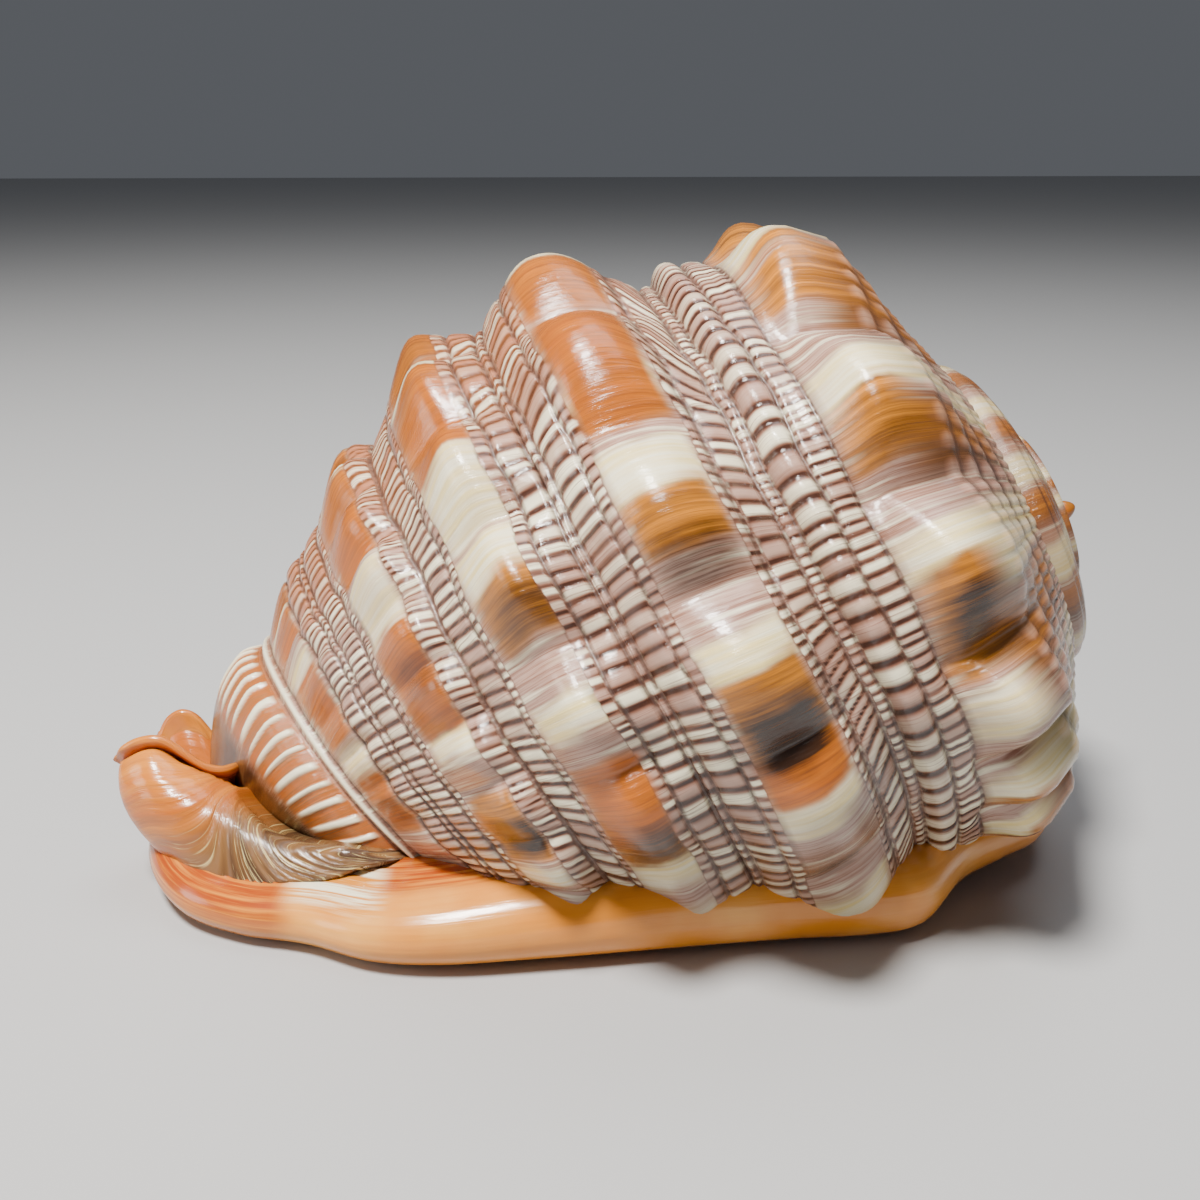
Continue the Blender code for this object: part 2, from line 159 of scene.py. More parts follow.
# distance down the axis, half width, height, angles of its knobs
knobRows = [
    (26.3, 6.0, 8.0, (62.0, 74.0, 87.5, 112.5, 139.5, 170.5, 204.0, 226.0, 247.0, 267.0, 287.0)),
    (55.4, 6.6, 6.6, (48.0, 69.0, 90.5, 111.0, 133.0, 157.5, 179.0, 201.0, 222.0, 242.0, 262.0, 282.0)),
    (77.5, 6.0, 5.4, (62.0, 80.0, 97.5, 114.0, 133.0, 152.5, 170.5, 189.0, 207.0, 225.0, 242.0, 259.0,
                      276.0)),
    (95.6, 4.6, 3.6, (78.0, 91.0, 104.5, 115.5, 126.5, 137.0, 150.5, 161.5, 177.5, 190.0, 203.0, 216.0,
                      229.0, 242.0, 255.0, 268.0)),
    (111.6, 3.8, 2.4, (101.0, 114.5, 124.0, 133.0, 147.0, 158.5, 172.0, 186.5, 200.0, 214.0, 228.0, 242.0)),
]
knobShape = {"lengthShare": 0.62, "widthShare": 1.6, "sink": 0.55, "lengthPower": 1.3, "widthPower": 1.2,
             "lean": 0.4, "startDeg": (30.0, 44.0)}
# draws the lower near side of the whorl in under the belly
tuckShape = {"top": 42.0, "depth": 24.0, "limit": 1.25, "power": 1.7, "reach": 12.0,
             "way": (0.03, 0.83, -0.56)}

tilt = math.radians(coil["tiltDeg"])
axisWay = np.array([math.cos(tilt), 0.0, math.sin(tilt)])
backWay = np.array([-math.sin(tilt), 0.0, math.cos(tilt)])
sideWay = np.array([0.0, 1.0, 0.0])
rowTable = curveTable(whorlRows, 6)
rampTable = curveTable([(k / 5.0, r, h) for k, (r, h) in enumerate(rampShape)], 6)


def coilSize(deg):
    deg = np.asarray(deg, float)
    early = (deg - 180.0) / 360.0
    late = -15.0 / 360.0 + 0.09 * np.tanh((deg - 165.0) / 360.0 / 0.09)
    late = late - 0.12 * np.maximum(0.0, (deg - 210.0) / 75.0) ** 2
    return coil["growthPerTurn"] ** np.where(deg < 165.0, early, late)


def shoulderHeight(deg):
    size = coilSize(deg)
    heights = np.interp(np.log(size), [math.log(s) for s, h in shoulderPath], [h for s, h in shoulderPath])
    return heights + (coil["spireLean"] * whorlRows[0][1] * size * np.cos(np.radians(deg))
                      * (1.0 - smooth(size, 0.6, 0.9)))


def coilPlace(deg, down, radius):
    ang = np.radians(deg)[..., None]
    out = -np.cos(ang) * backWay - np.sin(ang) * sideWay
    place = np.array(coil["apex"]) + radius[..., None] * out - down[..., None] * axisWay
    deep = np.clip((tuckShape["top"] - place[..., 2]) / tuckShape["depth"], 0.0, tuckShape["limit"])
    share = smooth(place[..., 0], -6.0, 12.0) * smooth(-place[..., 1], 4.0, 24.0)
    move = tuckShape["reach"] * deep ** tuckShape["power"] * share
    return place + move[..., None] * np.array(tuckShape["way"])


def nearestKnob(deg, angles):
    # how far round each point is from its nearest knob, as a share of the gap, and which knob it is
    angles = np.array(angles)
    mids = 0.5 * (angles[1:] + angles[:-1])
    which = np.searchsorted(mids, deg)
    centre = angles[which]
    before = centre - angles[np.maximum(which - 1, 0)]
    after = angles[np.minimum(which + 1, len(angles) - 1)] - centre
    before = np.where(which == 0, angles[1] - angles[0], before)
    after = np.where(which == len(angles) - 1, angles[-1] - angles[-2], after)
    gap = np.where(deg < centre, before, after)
    return (deg - centre) / gap, which


def knobLift(deg, down):
    lift = np.zeros(deg.shape)
    for row, half, height, angles in knobRows:
        across = np.clip(np.abs(down - row) / (half * knobShape["widthShare"]), 0.0, 1.0)
        share, which = nearestKnob(deg, angles)
        along = np.clip(np.abs(share) / knobShape["lengthShare"], 0.0, 1.0)
        best = np.cos(0.5 * np.pi * along) ** knobShape["lengthPower"]
        flank = np.cos(0.5 * np.pi * across) ** knobShape["widthPower"]
        lift = lift + height * (best - knobShape["sink"]) * flank
    return lift * smooth(deg, *knobShape["startDeg"])


# beaded cords and grooves between the knob rows
# cord: middle, half width, height, bead pitch in degrees, seed (cords with one seed share their beads)
cords = [(35.7, 1.75, 0.40, 1.9, 1), (39.9, 2.20, 0.85, 3.3, 2), (43.1, 0.80, 0.30, 1.5, 3),
         (46.0, 1.60, 0.55, 2.3, 2), (48.7, 0.70, 0.20, 1.6, 4), (62.3, 0.90, 0.20, 1.5, 6),
         (65.1, 1.90, 0.60, 2.2, 6), (67.85, 0.55, 0.28, 2.2, 6), (70.6, 1.90, 0.55, 2.2, 6),
         (73.6, 0.80, 0.22, 1.5, 8), (84.6, 0.60, 0.20, 1.5, 9), (87.1, 1.80, 0.50, 2.4, 10),
         (91.3, 1.50, 0.25, 1.7, 11), (101.3, 0.55, 0.22, 1.7, 12), (103.8, 1.55, 0.50, 2.5, 13),
         (106.1, 0.50, 0.22, 2.5, 13), (108.3, 1.45, 0.48, 2.5, 13)]
# groove: middle, half width, depth
grooves = [(34.1, 0.30, 0.30), (37.7, 0.40, 0.45), (42.5, 0.32, 0.45), (44.4, 0.32, 0.45), (48.3, 0.36, 0.40),
           (63.1, 0.30, 0.35), (67.4, 0.30, 0.45), (68.8, 0.32, 0.50), (72.5, 0.32, 0.35), (85.1, 0.26, 0.25),
           (89.3, 0.40, 0.50), (101.9, 0.30, 0.35), (105.5, 0.28, 0.35), (106.7, 0.28, 0.35),
           (109.9, 0.32, 0.40), (116.7, 0.30, 0.35), (118.9, 0.30, 0.35)]
# the smooth bands that the knobs stand on, from and to
panels = [(24.0, 34.0), (49.6, 61.6), (73.8, 84.2), (92.8, 100.8), (110.3, 116.4)]


def waveNoise(x, seed, scale):
    # a smooth wandering value from -1 to 1
    dice = np.random.default_rng(seed)
    steps = dice.uniform(-1.0, 1.0, 4000)
    at = np.asarray(x, float) / scale + 1500.0
    low = np.floor(at).astype(int)
    t = at - low
    t = t * t * (3.0 - 2.0 * t)
    return steps[low % 4000] * (1.0 - t) + steps[(low + 1) % 4000] * t


def beadRow(deg, pitch, seed):
    # height 0 to 1 over irregular beads, and a tone of its own for each
    dice = np.random.default_rng(seed)
    steps = pitch * dice.uniform(0.62, 1.38, 600)
    edges = -40.0 + np.cumsum(steps)
    tones = dice.uniform(0.0, 1.0, 601)
    which = np.clip(np.searchsorted(edges, deg) - 1, 0, 598)
    share = np.clip((deg - edges[which]) / (edges[which + 1] - edges[which]), 0.0, 1.0)
    crest = np.sin(np.pi * share ** 0.8) ** 0.8
    return crest, tones[which]


def fineRelief(deg, down):
    # returns the lift in mm and the paint weights of every point
    shape = deg.shape
    wander = 0.35 * waveNoise(deg, 21, 9.0) + 0.18 * waveNoise(deg, 22, 3.4)
    at = down + wander * smooth(down, 33.0, 37.0) * (1.0 - smooth(down, 112.0, 116.0))
    slant = 0.30 * smooth(deg, 138.0, 165.0) - 0.12 * smooth(125.0 - deg, 0.0, 30.0)
    around = deg + 0.7 * waveNoise(down, 23, 6.0) + slant * (down - 70.0) * smooth(down, 44.0, 50.0)
    lift = np.zeros(shape)
    crest = np.zeros(shape)
    zone = np.zeros(shape)
    groove = np.zeros(shape)
    tone = np.zeros(shape)
    for middle, half, height, pitch, seed in cords:
        across = np.abs(at - middle) / half
        inside = 1.0 - smooth(across, 0.95, 1.25)
        pillow = np.clip(1.0 - across ** 2.4, 0.0, 1.0) ** 0.8
        bead, own = beadRow(around, pitch, seed)
        lift += height * pillow * (0.35 + 0.65 * bead)
        crest = np.maximum(crest, inside * bead)
        zone = np.maximum(zone, inside)
        tone = np.where(across < 1.2, own, tone)
    for middle, half, depth in grooves:
        dip = np.exp(-((at - middle) / half) ** 2)
        lift -= depth * dip
        groove = np.maximum(groove, dip)
    panel = np.zeros(shape)
    for low, high in panels:
        panel = np.maximum(panel, smooth(at, low, low + 0.8) * (1.0 - smooth(at, high - 0.8, high)))
    rib = beadRow(around, 1.25, 31)[0]
    lift += (0.07 * panel + 0.05) * rib
    return lift, crest, zone, groove, tone


# how dark, and how orange, each knob of the rows is, from its first angle
knobTones = [
    ((0.5, 0.6, 0.4, 0.95, 0.35, 0.1, 0.2, 0.4, 0.3, 0.5, 0.4),
     (0.2, 0.2, 0.2, 0.2, 0.2, 0.7, 0.5, 0.3, 0.4, 0.4, 0.5)),
    ((0.5, 0.5, 0.7, 1.0, 0.55, 0.05, 0.1, 0.4, 0.5, 0.6, 0.5, 0.4),
     (0.3, 0.3, 0.2, 0.1, 0.1, 0.9, 0.8, 0.5, 0.4, 0.4, 0.5, 0.5)),
    ((0.5, 0.6, 0.75, 0.1, 0.6, 0.05, 0.1, 0.3, 0.5, 0.5, 0.6, 0.4, 0.5),
     (0.2, 0.3, 0.4, 0.0, 0.2, 0.9, 0.9, 0.6, 0.4, 0.5, 0.4, 0.5, 0.5)),
    ((0.4, 0.3, 0.9, 0.1, 0.4, 0.5, 0.1, 0.3, 0.1, 0.3, 0.5, 0.3, 0.5, 0.4, 0.5, 0.4),
     (0.3, 0.2, 0.4, 0.2, 0.9, 0.8, 0.4, 0.9, 0.8, 0.6, 0.5, 0.6, 0.5, 0.5, 0.6, 0.5)),
    ((0.2, 0.3, 0.1, 0.3, 0.2, 0.2, 0.1, 0.3, 0.2, 0.3, 0.2, 0.2),
     (0.3, 0.7, 0.1, 0.9, 0.8, 0.3, 0.9, 0.7, 0.5, 0.7, 0.6, 0.6)),
]
# angle, way down, half width in degrees, half height of the pale patches of painted highlight
paintedHighlightPatches = [(148.5, 79.5, 5.0, 3.4)]

# marks on the side that faces the camera, row by row: kind, first and last angle, strength
marks = [
    [("brown", 101.0, 110.5, 0.95), ("gold", 97.0, 114.0, 1.0), ("cream", 113.0, 119.0, 1.0),
     ("cream", 87.0, 95.0, 0.8), ("gold", 129.5, 139.0, 1.0), ("brown", 130.0, 134.0, 0.4),
     ("cream", 138.0, 145.5, 1.0), ("gold", 158.5, 167.0, 1.0)],
    [("cream", 90.8, 94.8, 0.9), ("orange", 94.5, 100.0, 1.0), ("gold", 98.0, 112.0, 1.0),
     ("brown", 98.5, 107.0, 1.0), ("cream", 111.3, 116.4, 1.0), ("brown", 123.0, 129.0, 0.6),
     ("gold", 127.0, 134.5, 1.0), ("cream", 133.5, 141.0, 1.0), ("orange", 146.0, 168.0, 1.0),
     ("cream", 148.0, 153.5, 0.9)],
    [("cream", 86.0, 91.0, 0.9), ("brown", 90.5, 97.5, 0.8), ("orange", 95.0, 107.5, 1.0),
     ("gold", 90.5, 97.0, 1.0), ("cream", 112.5, 117.5, 1.0), ("gold", 125.0, 134.5, 1.0),
     ("brown", 125.5, 131.5, 0.6), ("cream", 133.5, 140.5, 1.0), ("cream", 142.0, 153.0, 0.8),
     ("orange", 153.0, 168.0, 1.0)],
    [("cream", 88.5, 93.0, 0.9), ("brown", 96.0, 104.0, 1.0), ("gold", 95.0, 109.0, 1.0),
     ("cream", 117.0, 121.5, 0.9), ("orange", 121.0, 140.0, 1.0), ("brown", 126.0, 134.0, 0.4),
     ("cream", 139.5, 152.0, 0.7), ("orange", 154.5, 168.0, 1.0)],
    [("gold", 79.0, 88.0, 1.0), ("brown", 80.0, 86.0, 0.5), ("orange", 105.0, 121.5, 1.0),
     ("brown", 107.0, 115.0, 0.35), ("cream", 121.5, 130.0, 0.8), ("orange", 131.5, 153.5, 1.0),
     ("cream", 153.0, 156.0, 1.0), ("orange", 162.0, 168.0, 1.0)],
]
# the angles between which the marks hold; beyond them each knob has its own tones
marksSpan = {"from": 84.0, "to": 166.0, "fade": 4.0}
# how far each kind of mark fades towards the edges of its row, and where that starts
markFades = {"cream": (0.35, 0.7), "gold": (0.45, 0.7), "orange": (0.30, 0.7), "brown": (0.85, 0.35)}


def rowMarks(deg, off, which):
    found = {kind: np.zeros(deg.shape) for kind in markFades}
    for kind, first, last, strength in marks[which]:
        soft = 1.6 if kind == "brown" else 1.0
        fade, start = markFades[kind]
        mark = strength * smooth(deg, first - soft, first + soft)
        mark = mark * (1.0 - smooth(deg, last - soft, last + soft))
        found[kind] = np.maximum(found[kind], mark * (1.0 - fade * smooth(off, start, 1.15)))
    return found


def knobPaint(deg, down):
    # cream, gold and brown weights, and how orange the gold is
    cream = np.zeros(deg.shape)
    gold = np.zeros(deg.shape)
    brown = np.zeros(deg.shape)
    warm = np.zeros(deg.shape)
    stray = 0.9 * waveNoise(deg, 41, 0.9) + 1.2 * waveNoise(down, 42, 2.5)
    own = smooth(deg, marksSpan["from"] - marksSpan["fade"], marksSpan["from"])
    own = own * (1.0 - smooth(deg, marksSpan["to"], marksSpan["to"] + marksSpan["fade"]))
    for index, (row, half, height, angles) in enumerate(knobRows):
        low, high = panels[index]
        here = smooth(down, low - 0.5, low + 1.1) * (1.0 - smooth(down, high - 1.1, high + 0.5))
        share, which = nearestKnob(deg + stray, angles)
        dark, orange = (np.array(tones)[which] for tones in knobTones[index])
        off = np.abs(down - row) / half
        found = rowMarks(deg + stray * 0.7, off, index)
        creamKnob = smooth(share, -0.04, 0.06) * (1.0 - smooth(share, 0.24, 0.36))
        creamKnob = creamKnob * (1.0 - 0.35 * smooth(off, 0.6, 1.2))
        goldKnob = smooth(share, -0.52, -0.38) * (1.0 - smooth(share, -0.02, 0.10))
        goldKnob = goldKnob * (1.0 - 0.45 * smooth(off, 0.7, 1.2))
        brownKnob = dark * smooth(share, -0.58, -0.40) * (1.0 - smooth(share, -0.30, -0.10))
        brownKnob = brownKnob * (1.0 - 0.8 * smooth(off, 0.35, 1.1))
        cream += here * (creamKnob * (1.0 - own) + found["cream"] * own)
        gold += here * (goldKnob * (1.0 - own) + np.maximum(found["gold"], found["orange"]) * own)
        brown += here * (brownKnob * (1.0 - own) + found["brown"] * own)
        warm += here * (orange * (1.0 - own) + found["orange"] * own)
    # pale patches of painted highlight on the knobs, mixed into the cream and taken out of the gold
    for middle, row, half, reach in paintedHighlightPatches:
        offAlong = (deg - middle + 1.2 * waveNoise(down, 44, 1.5)) / half
        offAcross = (down - row + 0.8 * waveNoise(deg, 45, 1.8)) / reach
        paintedHighlight = 1.0 - smooth(np.hypot(offAlong, offAcross), 0.6, 1.1)
        cream = np.maximum(cream, 0.9 * paintedHighlight)
        gold = gold * (1.0 - 0.8 * paintedHighlight)
    far = 0.55 * smooth(deg, 142.0, 168.0) * smooth(down, 40.0, 66.0)
    return cream, gold, brown, np.maximum(warm, far)


# making a grid piece from an array of places
def gridPiece(name, places, paints, coords, cutBelow=None, closeRows=False):
    # places: columns x rows x 3 in mm; paints: name -> columns x rows x 3; coords: columns x rows x 2
    columns, rows = places.shape[:2]
    bm = bmesh.new()
    bmesh.ops.create_grid(bm, x_segments=rows - 1, y_segments=columns - 1, size=1.0)
    bm.verts.ensure_lookup_table()
    layers = {key: bm.verts.layers.float_vector.new(key) for key in paints}
    uvLayer = bm.loops.layers.uv.new("coilMap")
    flat = places.reshape(-1, 3) * mm
    flatPaints = {key: value.reshape(-1, 3) for key, value in paints.items()}
    for k, vert in enumerate(bm.verts):
        vert.co = flat[k]
        for key, layer in layers.items():
            vert[layer] = flatPaints[key][k]
    flatCoords = coords.reshape(-1, 2)
    bm.verts.index_update()
    for face in bm.faces:
        for loop in face.loops:
            loop[uvLayer].uv = flatCoords[loop.vert.index]
    if closeRows:
        bmesh.ops.remove_doubles(bm, verts=bm.verts[:], dist=1e-6)
    if cutBelow is not None:
        whole = bm.verts[:] + bm.edges[:] + bm.faces[:]
        bmesh.ops.bisect_plane(bm, geom=whole, dist=1e-7, plane_co=(0.0, 0.0, cutBelow * mm),
                               plane_no=(0.0, 0.0, -1.0), clear_outer=True)
    return bm


def finishPiece(name, bm, material, outward=None):
    # outward gives the way that a face at a place should look; the piece is turned if most faces don't
    bm.normal_update()
    if outward is not None:
        score = 0.0
        for face in list(bm.faces)[::17]:
            centre = face.calc_center_median()
            score += face.normal.dot(outward(centre)) * face.calc_area()
        if score < 0.0:
            bmesh.ops.reverse_faces(bm, faces=bm.faces[:])
    obj = linkPiece(name, bm)
    obj.data.shade_smooth()
    obj.data.materials.append(material)
    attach(obj, "root")
    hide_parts("helmet_shell")
    print(name, len(obj.data.polygons), "faces")
    return obj


def fromAxis(centre):
    # straight out from the coil's axis
    rel = Vector(centre) / mm - Vector(coil["apex"])
    axis = Vector(axisWay)
    return (rel - rel.dot(axis) * axis).normalized()


# materials
def shaderOf(name):
    mat = bpy.data.materials.new(name)
    mat.use_nodes = True
    return mat, mat.node_tree, mat.node_tree.nodes["Principled BSDF"]


def colour(name):
    return (*palette[name], 1.0)


def plug(tree, socket, value):
    if isinstance(value, bpy.types.NodeSocket):
        tree.links.new(value, socket)
    elif isinstance(value, str):
        socket.default_value = colour(value)
    else:
        socket.default_value = value


def mixColour(tree, factor, a, b, way="MIX"):
    node = tree.nodes.new("ShaderNodeMix")
    node.data_type = "RGBA"
    node.blend_type = way
    plug(tree, node.inputs[0], factor)
    plug(tree, node.inputs[6], a)
    plug(tree, node.inputs[7], b)
    return node.outputs[2]


def sums(tree, way, a, b=0.0, c=0.0):
    node = tree.nodes.new("ShaderNodeMath")
    node.operation = way
    node.use_clamp = way in ("MULTIPLY", "MULTIPLY_ADD")
    for socket, value in zip(node.inputs, (a, b, c)):
        plug(tree, socket, value)
    return node.outputs[0]


def span(tree, value, low, high, outLow=0.0, outHigh=1.0):
    node = tree.nodes.new("ShaderNodeMapRange")
    node.interpolation_type = "SMOOTHSTEP"
    plug(tree, node.inputs["Value"], value)
    for key, number in (("From Min", low), ("From Max", high), ("To Min", outLow), ("To Max", outHigh)):
        node.inputs[key].default_value = number
    return node.outputs["Result"]


def paintOf(tree, name):
    # the three weights of a painted attribute
    node = tree.nodes.new("ShaderNodeAttribute")
    node.attribute_name = name
    split = tree.nodes.new("ShaderNodeSeparateXYZ")
    tree.links.new(node.outputs["Vector"], split.inputs[0])
    return split.outputs[0], split.outputs[1], split.outputs[2]


def streaks(tree, scale, detail=3.0, roughness=0.6, offset=0.0, source="coilMap"):
    # noise on the piece's own map, stretched by the two scales
    if source:
        where = tree.nodes.new("ShaderNodeUVMap")
        where.uv_map = source
        place = where.outputs[0]
    else:
        where = tree.nodes.new("ShaderNodeTexCoord")
        place = where.outputs["Object"]
    mapping = tree.nodes.new("ShaderNodeMapping")
    mapping.inputs["Scale"].default_value = (*scale, 1.0) if len(scale) == 2 else scale
    mapping.inputs["Location"].default_value = (offset, offset * 0.7, offset * 0.3)
    tree.links.new(place, mapping.inputs[0])
    noise = tree.nodes.new("ShaderNodeTexNoise")
    noise.inputs["Scale"].default_value = 1.0
    noise.inputs["Detail"].default_value = detail
    noise.inputs["Roughness"].default_value = roughness
    tree.links.new(mapping.outputs[0], noise.inputs["Vector"])
    return noise.outputs["Fac"]


def addBump(tree, shader, height, strength, distance, below=None):
    node = tree.nodes.new("ShaderNodeBump")
    node.inputs["Strength"].default_value = strength
    node.inputs["Distance"].default_value = distance
    plug(tree, node.inputs["Height"], height)
    if below is not None:
        tree.links.new(below, node.inputs["Normal"])
    tree.links.new(node.outputs[0], shader.inputs["Normal"])
    return node.outputs[0]


glaze = {"coat": 0.25, "coatRoughness": 0.08, "streakBump": 0.00012}


def makeKnobbedGlaze():
    mat, tree, shader = shaderOf("knobbedGlaze")
    cream, gold, brown = paintOf(tree, "knobPaint")
    crest, groove, zone = paintOf(tree, "cordPaint")
    white, collar, recess = paintOf(tree, "linePaint")
    warm, tone, paintedShade = paintOf(tree, "toneAndPaintedShade")
    hair = streaks(tree, (2.6, 0.05), 4.0, 0.75)
    band = streaks(tree, (0.75, 0.04), 3.0, 0.6, 7.0)
    cloud = streaks(tree, (0.10, 0.10), 3.0, 0.6, 3.0)
    fleck = streaks(tree, (1.2, 0.5), 2.0, 0.5, 11.0)
    hairLine = span(tree, hair, 0.38, 0.66)
    bandLine = span(tree, band, 0.36, 0.66)
    # ground: lavender and mauve hair lines with pale bands
    ground = mixColour(tree, span(tree, hair, 0.42, 0.62), "lavender", "mauve")
    ground = mixColour(tree, span(tree, band, 0.50, 0.68, 0.0, 0.75), ground, "creamWhite")
    ground = mixColour(tree, sums(tree, "MULTIPLY", warm, span(tree, cloud, 0.30, 0.60, 0.35, 0.95)),
                       ground, "terracotta")
    # knobs: cream above, honey and golden in the middle, dark brown below
    creamTone = mixColour(tree, span(tree, band, 0.35, 0.65), "creamWhite", "cream")
    creamPart = sums(tree, "MULTIPLY", cream, span(tree, hair, 0.25, 0.60, 0.75, 1.1))
    painted = mixColour(tree, creamPart, ground, creamTone)
    goldTone = mixColour(tree, bandLine, "honey", "golden")
    goldTone = mixColour(tree, sums(tree, "MULTIPLY", warm, 0.85), goldTone, "orange")
    goldTone = mixColour(tree, sums(tree, "MULTIPLY", hairLine, 0.40), goldTone, "umber")
    painted = mixColour(tree, sums(tree, "MULTIPLY", gold, span(tree, cloud, 0.2, 0.5, 0.85, 1.0)),
                        painted, goldTone)
    brownPart = sums(tree, "MULTIPLY", brown, span(tree, hair, 0.25, 0.65, 0.75, 1.3))
    painted = mixColour(tree, brownPart, painted, "darkBrown")
    # cords: cream rib tops, terracotta sides, maroon between; the maroon between the beads and in the grooves
    # is the cords' own dark colour, deepened as painted shade in the hollows
    beadTone = mixColour(tree, span(tree, tone, 0.15, 0.85), "lavender", "creamWhite")
    beadTone = mixColour(tree, span(tree, hair, 0.50, 0.66, 0.0, 0.75), beadTone, "mauve")
    beadTone = mixColour(tree, sums(tree, "MULTIPLY", warm, span(tree, tone, 0.2, 0.9, 1.0, 0.45)),
                         beadTone, "orange")
    side = mixColour(tree, span(tree, crest, 0.30, 0.66), "maroon", "mauve")
    side = mixColour(tree, sums(tree, "MULTIPLY", warm, 0.7), side, "terracotta")
    beads = mixColour(tree, span(tree, crest, 0.52, 0.95), side, beadTone)
    painted = mixColour(tree, zone, painted, beads)
    # the grooves go towards maroon: their own dark colour, deepened as painted shade
    painted = mixColour(tree, sums(tree, "MULTIPLY", groove, span(tree, fleck, 0.3, 0.6, 0.45, 0.95)),
                        painted, "maroon")
    # collar of white stripes on orange-brown, and the brown recess beyond it
    collarTone = mixColour(tree, hairLine, "orange", "tan")
    painted = mixColour(tree, collar, painted, collarTone)
    recessTone = mixColour(tree, span(tree, cloud, 0.35, 0.60), "tan", "umber")
    painted = mixColour(tree, recess, painted, recessTone)
    painted = mixColour(tree, white, painted, "creamWhite")
    # painted shade: the lower near side of the shell is mixed towards umber
    painted = mixColour(tree, sums(tree, "MULTIPLY", paintedShade, 0.6), painted, "umber")
    tree.links.new(painted, shader.inputs["Base Color"])
    rough = sums(tree, "MULTIPLY_ADD", cloud, 0.16, 0.12)
    tree.links.new(sums(tree, "ADD", rough, sums(tree, "MULTIPLY", groove, 0.25)), shader.inputs["Roughness"])
    shader.inputs["Coat Weight"].default_value = glaze["coat"]
    shader.inputs["Coat Roughness"].default_value = glaze["coatRoughness"]
    height = sums(tree, "ADD", hair, sums(tree, "MULTIPLY", band, 0.8))
    addBump(tree, shader, height, 0.7, glaze["streakBump"])
    return mat


knobbedGlaze = makeKnobbedGlaze()

# the spire: the older whorls, down to the first tiny one
spire = {"firstDeg": -1440.0, "lastDeg": -14.0, "stepDeg": 1.6, "cordCount": 6.0, "cordHeight": 0.42,
         "ribHeight": 0.40, "flamePitch": 31.0, "tipPlace": (72.6, 0.0, 50.3), "tipHeight": 2.7,
         "tipRadius": 1.5}


def rampLine(deg, onRamp):
    # height and radius of the plain ramp between the older whorl and the shoulder
    inner = coilSize(deg - 360.0)
    suture = inner ** coil["heightPower"] * (whorlRows[1][0] - shoulder)
    startH = shoulderHeight(deg - 360.0) + suture
    startR = whorlRows[1][1] * inner
    shareR = np.interp(onRamp, rampTable[:, 0], rampTable[:, 1])
    shareH = np.interp(onRamp, rampTable[:, 0], rampTable[:, 2])
    height = startH + (shoulderHeight(deg) - startH) * shareH
    return height, startR + (whorlRows[0][1] * coilSize(deg) - startR) * shareR


def rampRelief(deg, onRamp):
    wave = np.sin(np.pi * (onRamp * spire["cordCount"] + 0.08 * waveNoise(deg, 61, 20.0))) ** 2
    groove = smooth(1.0 - wave, 0.86, 1.0) * smooth(onRamp, 0.02, 0.10) * (1.0 - smooth(onRamp, 0.93, 1.0))
    bead, tone = beadRow(deg + 2.0 * onRamp, 3.4, 62)
    lift = spire["cordHeight"] * wave + spire["ribHeight"] * bead * (0.3 + 0.7 * wave)
    return lift, bead * (0.35 + 0.65 * wave), groove, tone


def rampFlames(deg, onRamp):
    share = (deg / spire["flamePitch"] + 0.22 * waveNoise(deg, 63, 25.0) + 0.18 * onRamp) % 1.0
    gold = smooth(share, 0.08, 0.20) * (1.0 - smooth(share, 0.42, 0.52)) * smooth(onRamp, 0.1, 0.3)
    brown = 0.45 * smooth(share, 0.02, 0.12) * (1.0 - smooth(share, 0.16, 0.30)) * smooth(onRamp, 0.1, 0.3)
    cream = smooth(share, 0.52, 0.60) * (1.0 - smooth(share, 0.82, 0.95))
    return gold, cream, brown


# the last whorl
whorl = {"fineDeg": 0.42, "coarseDeg": 0.9, "fineFrom": 20.0, "fineTo": 200.0, "split": 68.4,
         "whiteLine": (117.85, 0.62, 0.75), "stripePitch": 6.6, "stripeHeight": 0.45, "lipSwell": 2.6,
         "lipSwellDeg": (268.0, 288.0), "tuckIn": 1.5}


def columnAngles():
    low = np.arange(coil["lastDeg"] - 360.0, whorl["fineFrom"], whorl["coarseDeg"])
    mid = np.arange(whorl["fineFrom"], whorl["fineTo"], whorl["fineDeg"])
    high = np.append(np.arange(whorl["fineTo"], coil["lastDeg"], whorl["coarseDeg"]), coil["lastDeg"])
    return np.concatenate([low, mid, high])


def rowDowns(start, end):
    # close rows over cords and lines, wide ones over the knobs
    out = [start]
    while out[-1] < end:
        at = out[-1]
        step = 0.62
        if any(low + 1.0 < at < high - 1.0 for low, high in panels):
            step = 0.95
        elif 33.5 < at < 119.5 or at < shoulder:
            step = 0.27
        out.append(min(end, at + step))
    return np.array(out)


def collarPaint(deg, down):
    middle, half, height = whorl["whiteLine"]
    line = np.clip(1.0 - (np.abs(down - middle) / half) ** 2.0, 0.0, 1.0)
    slant = np.where(deg > 132.0, -0.55, 0.30) * (down - 119.0) * smooth(np.abs(deg - 132.0), 0.0, 25.0)
    stripe = beadRow(deg - slant, whorl["stripePitch"], 52)[0]
    stripe = smooth(stripe, 0.86, 0.985) * smooth(down, 119.2, 120.4) * (1.0 - smooth(down, 126.5, 129.0))
    collar = smooth(down, 118.6, 119.4) * (1.0 - smooth(down, 128.0, 130.0))
    recess = smooth(down, 127.5, 130.5)
    return line, stripe, collar, recess, height * line + whorl["stripeHeight"] * stripe


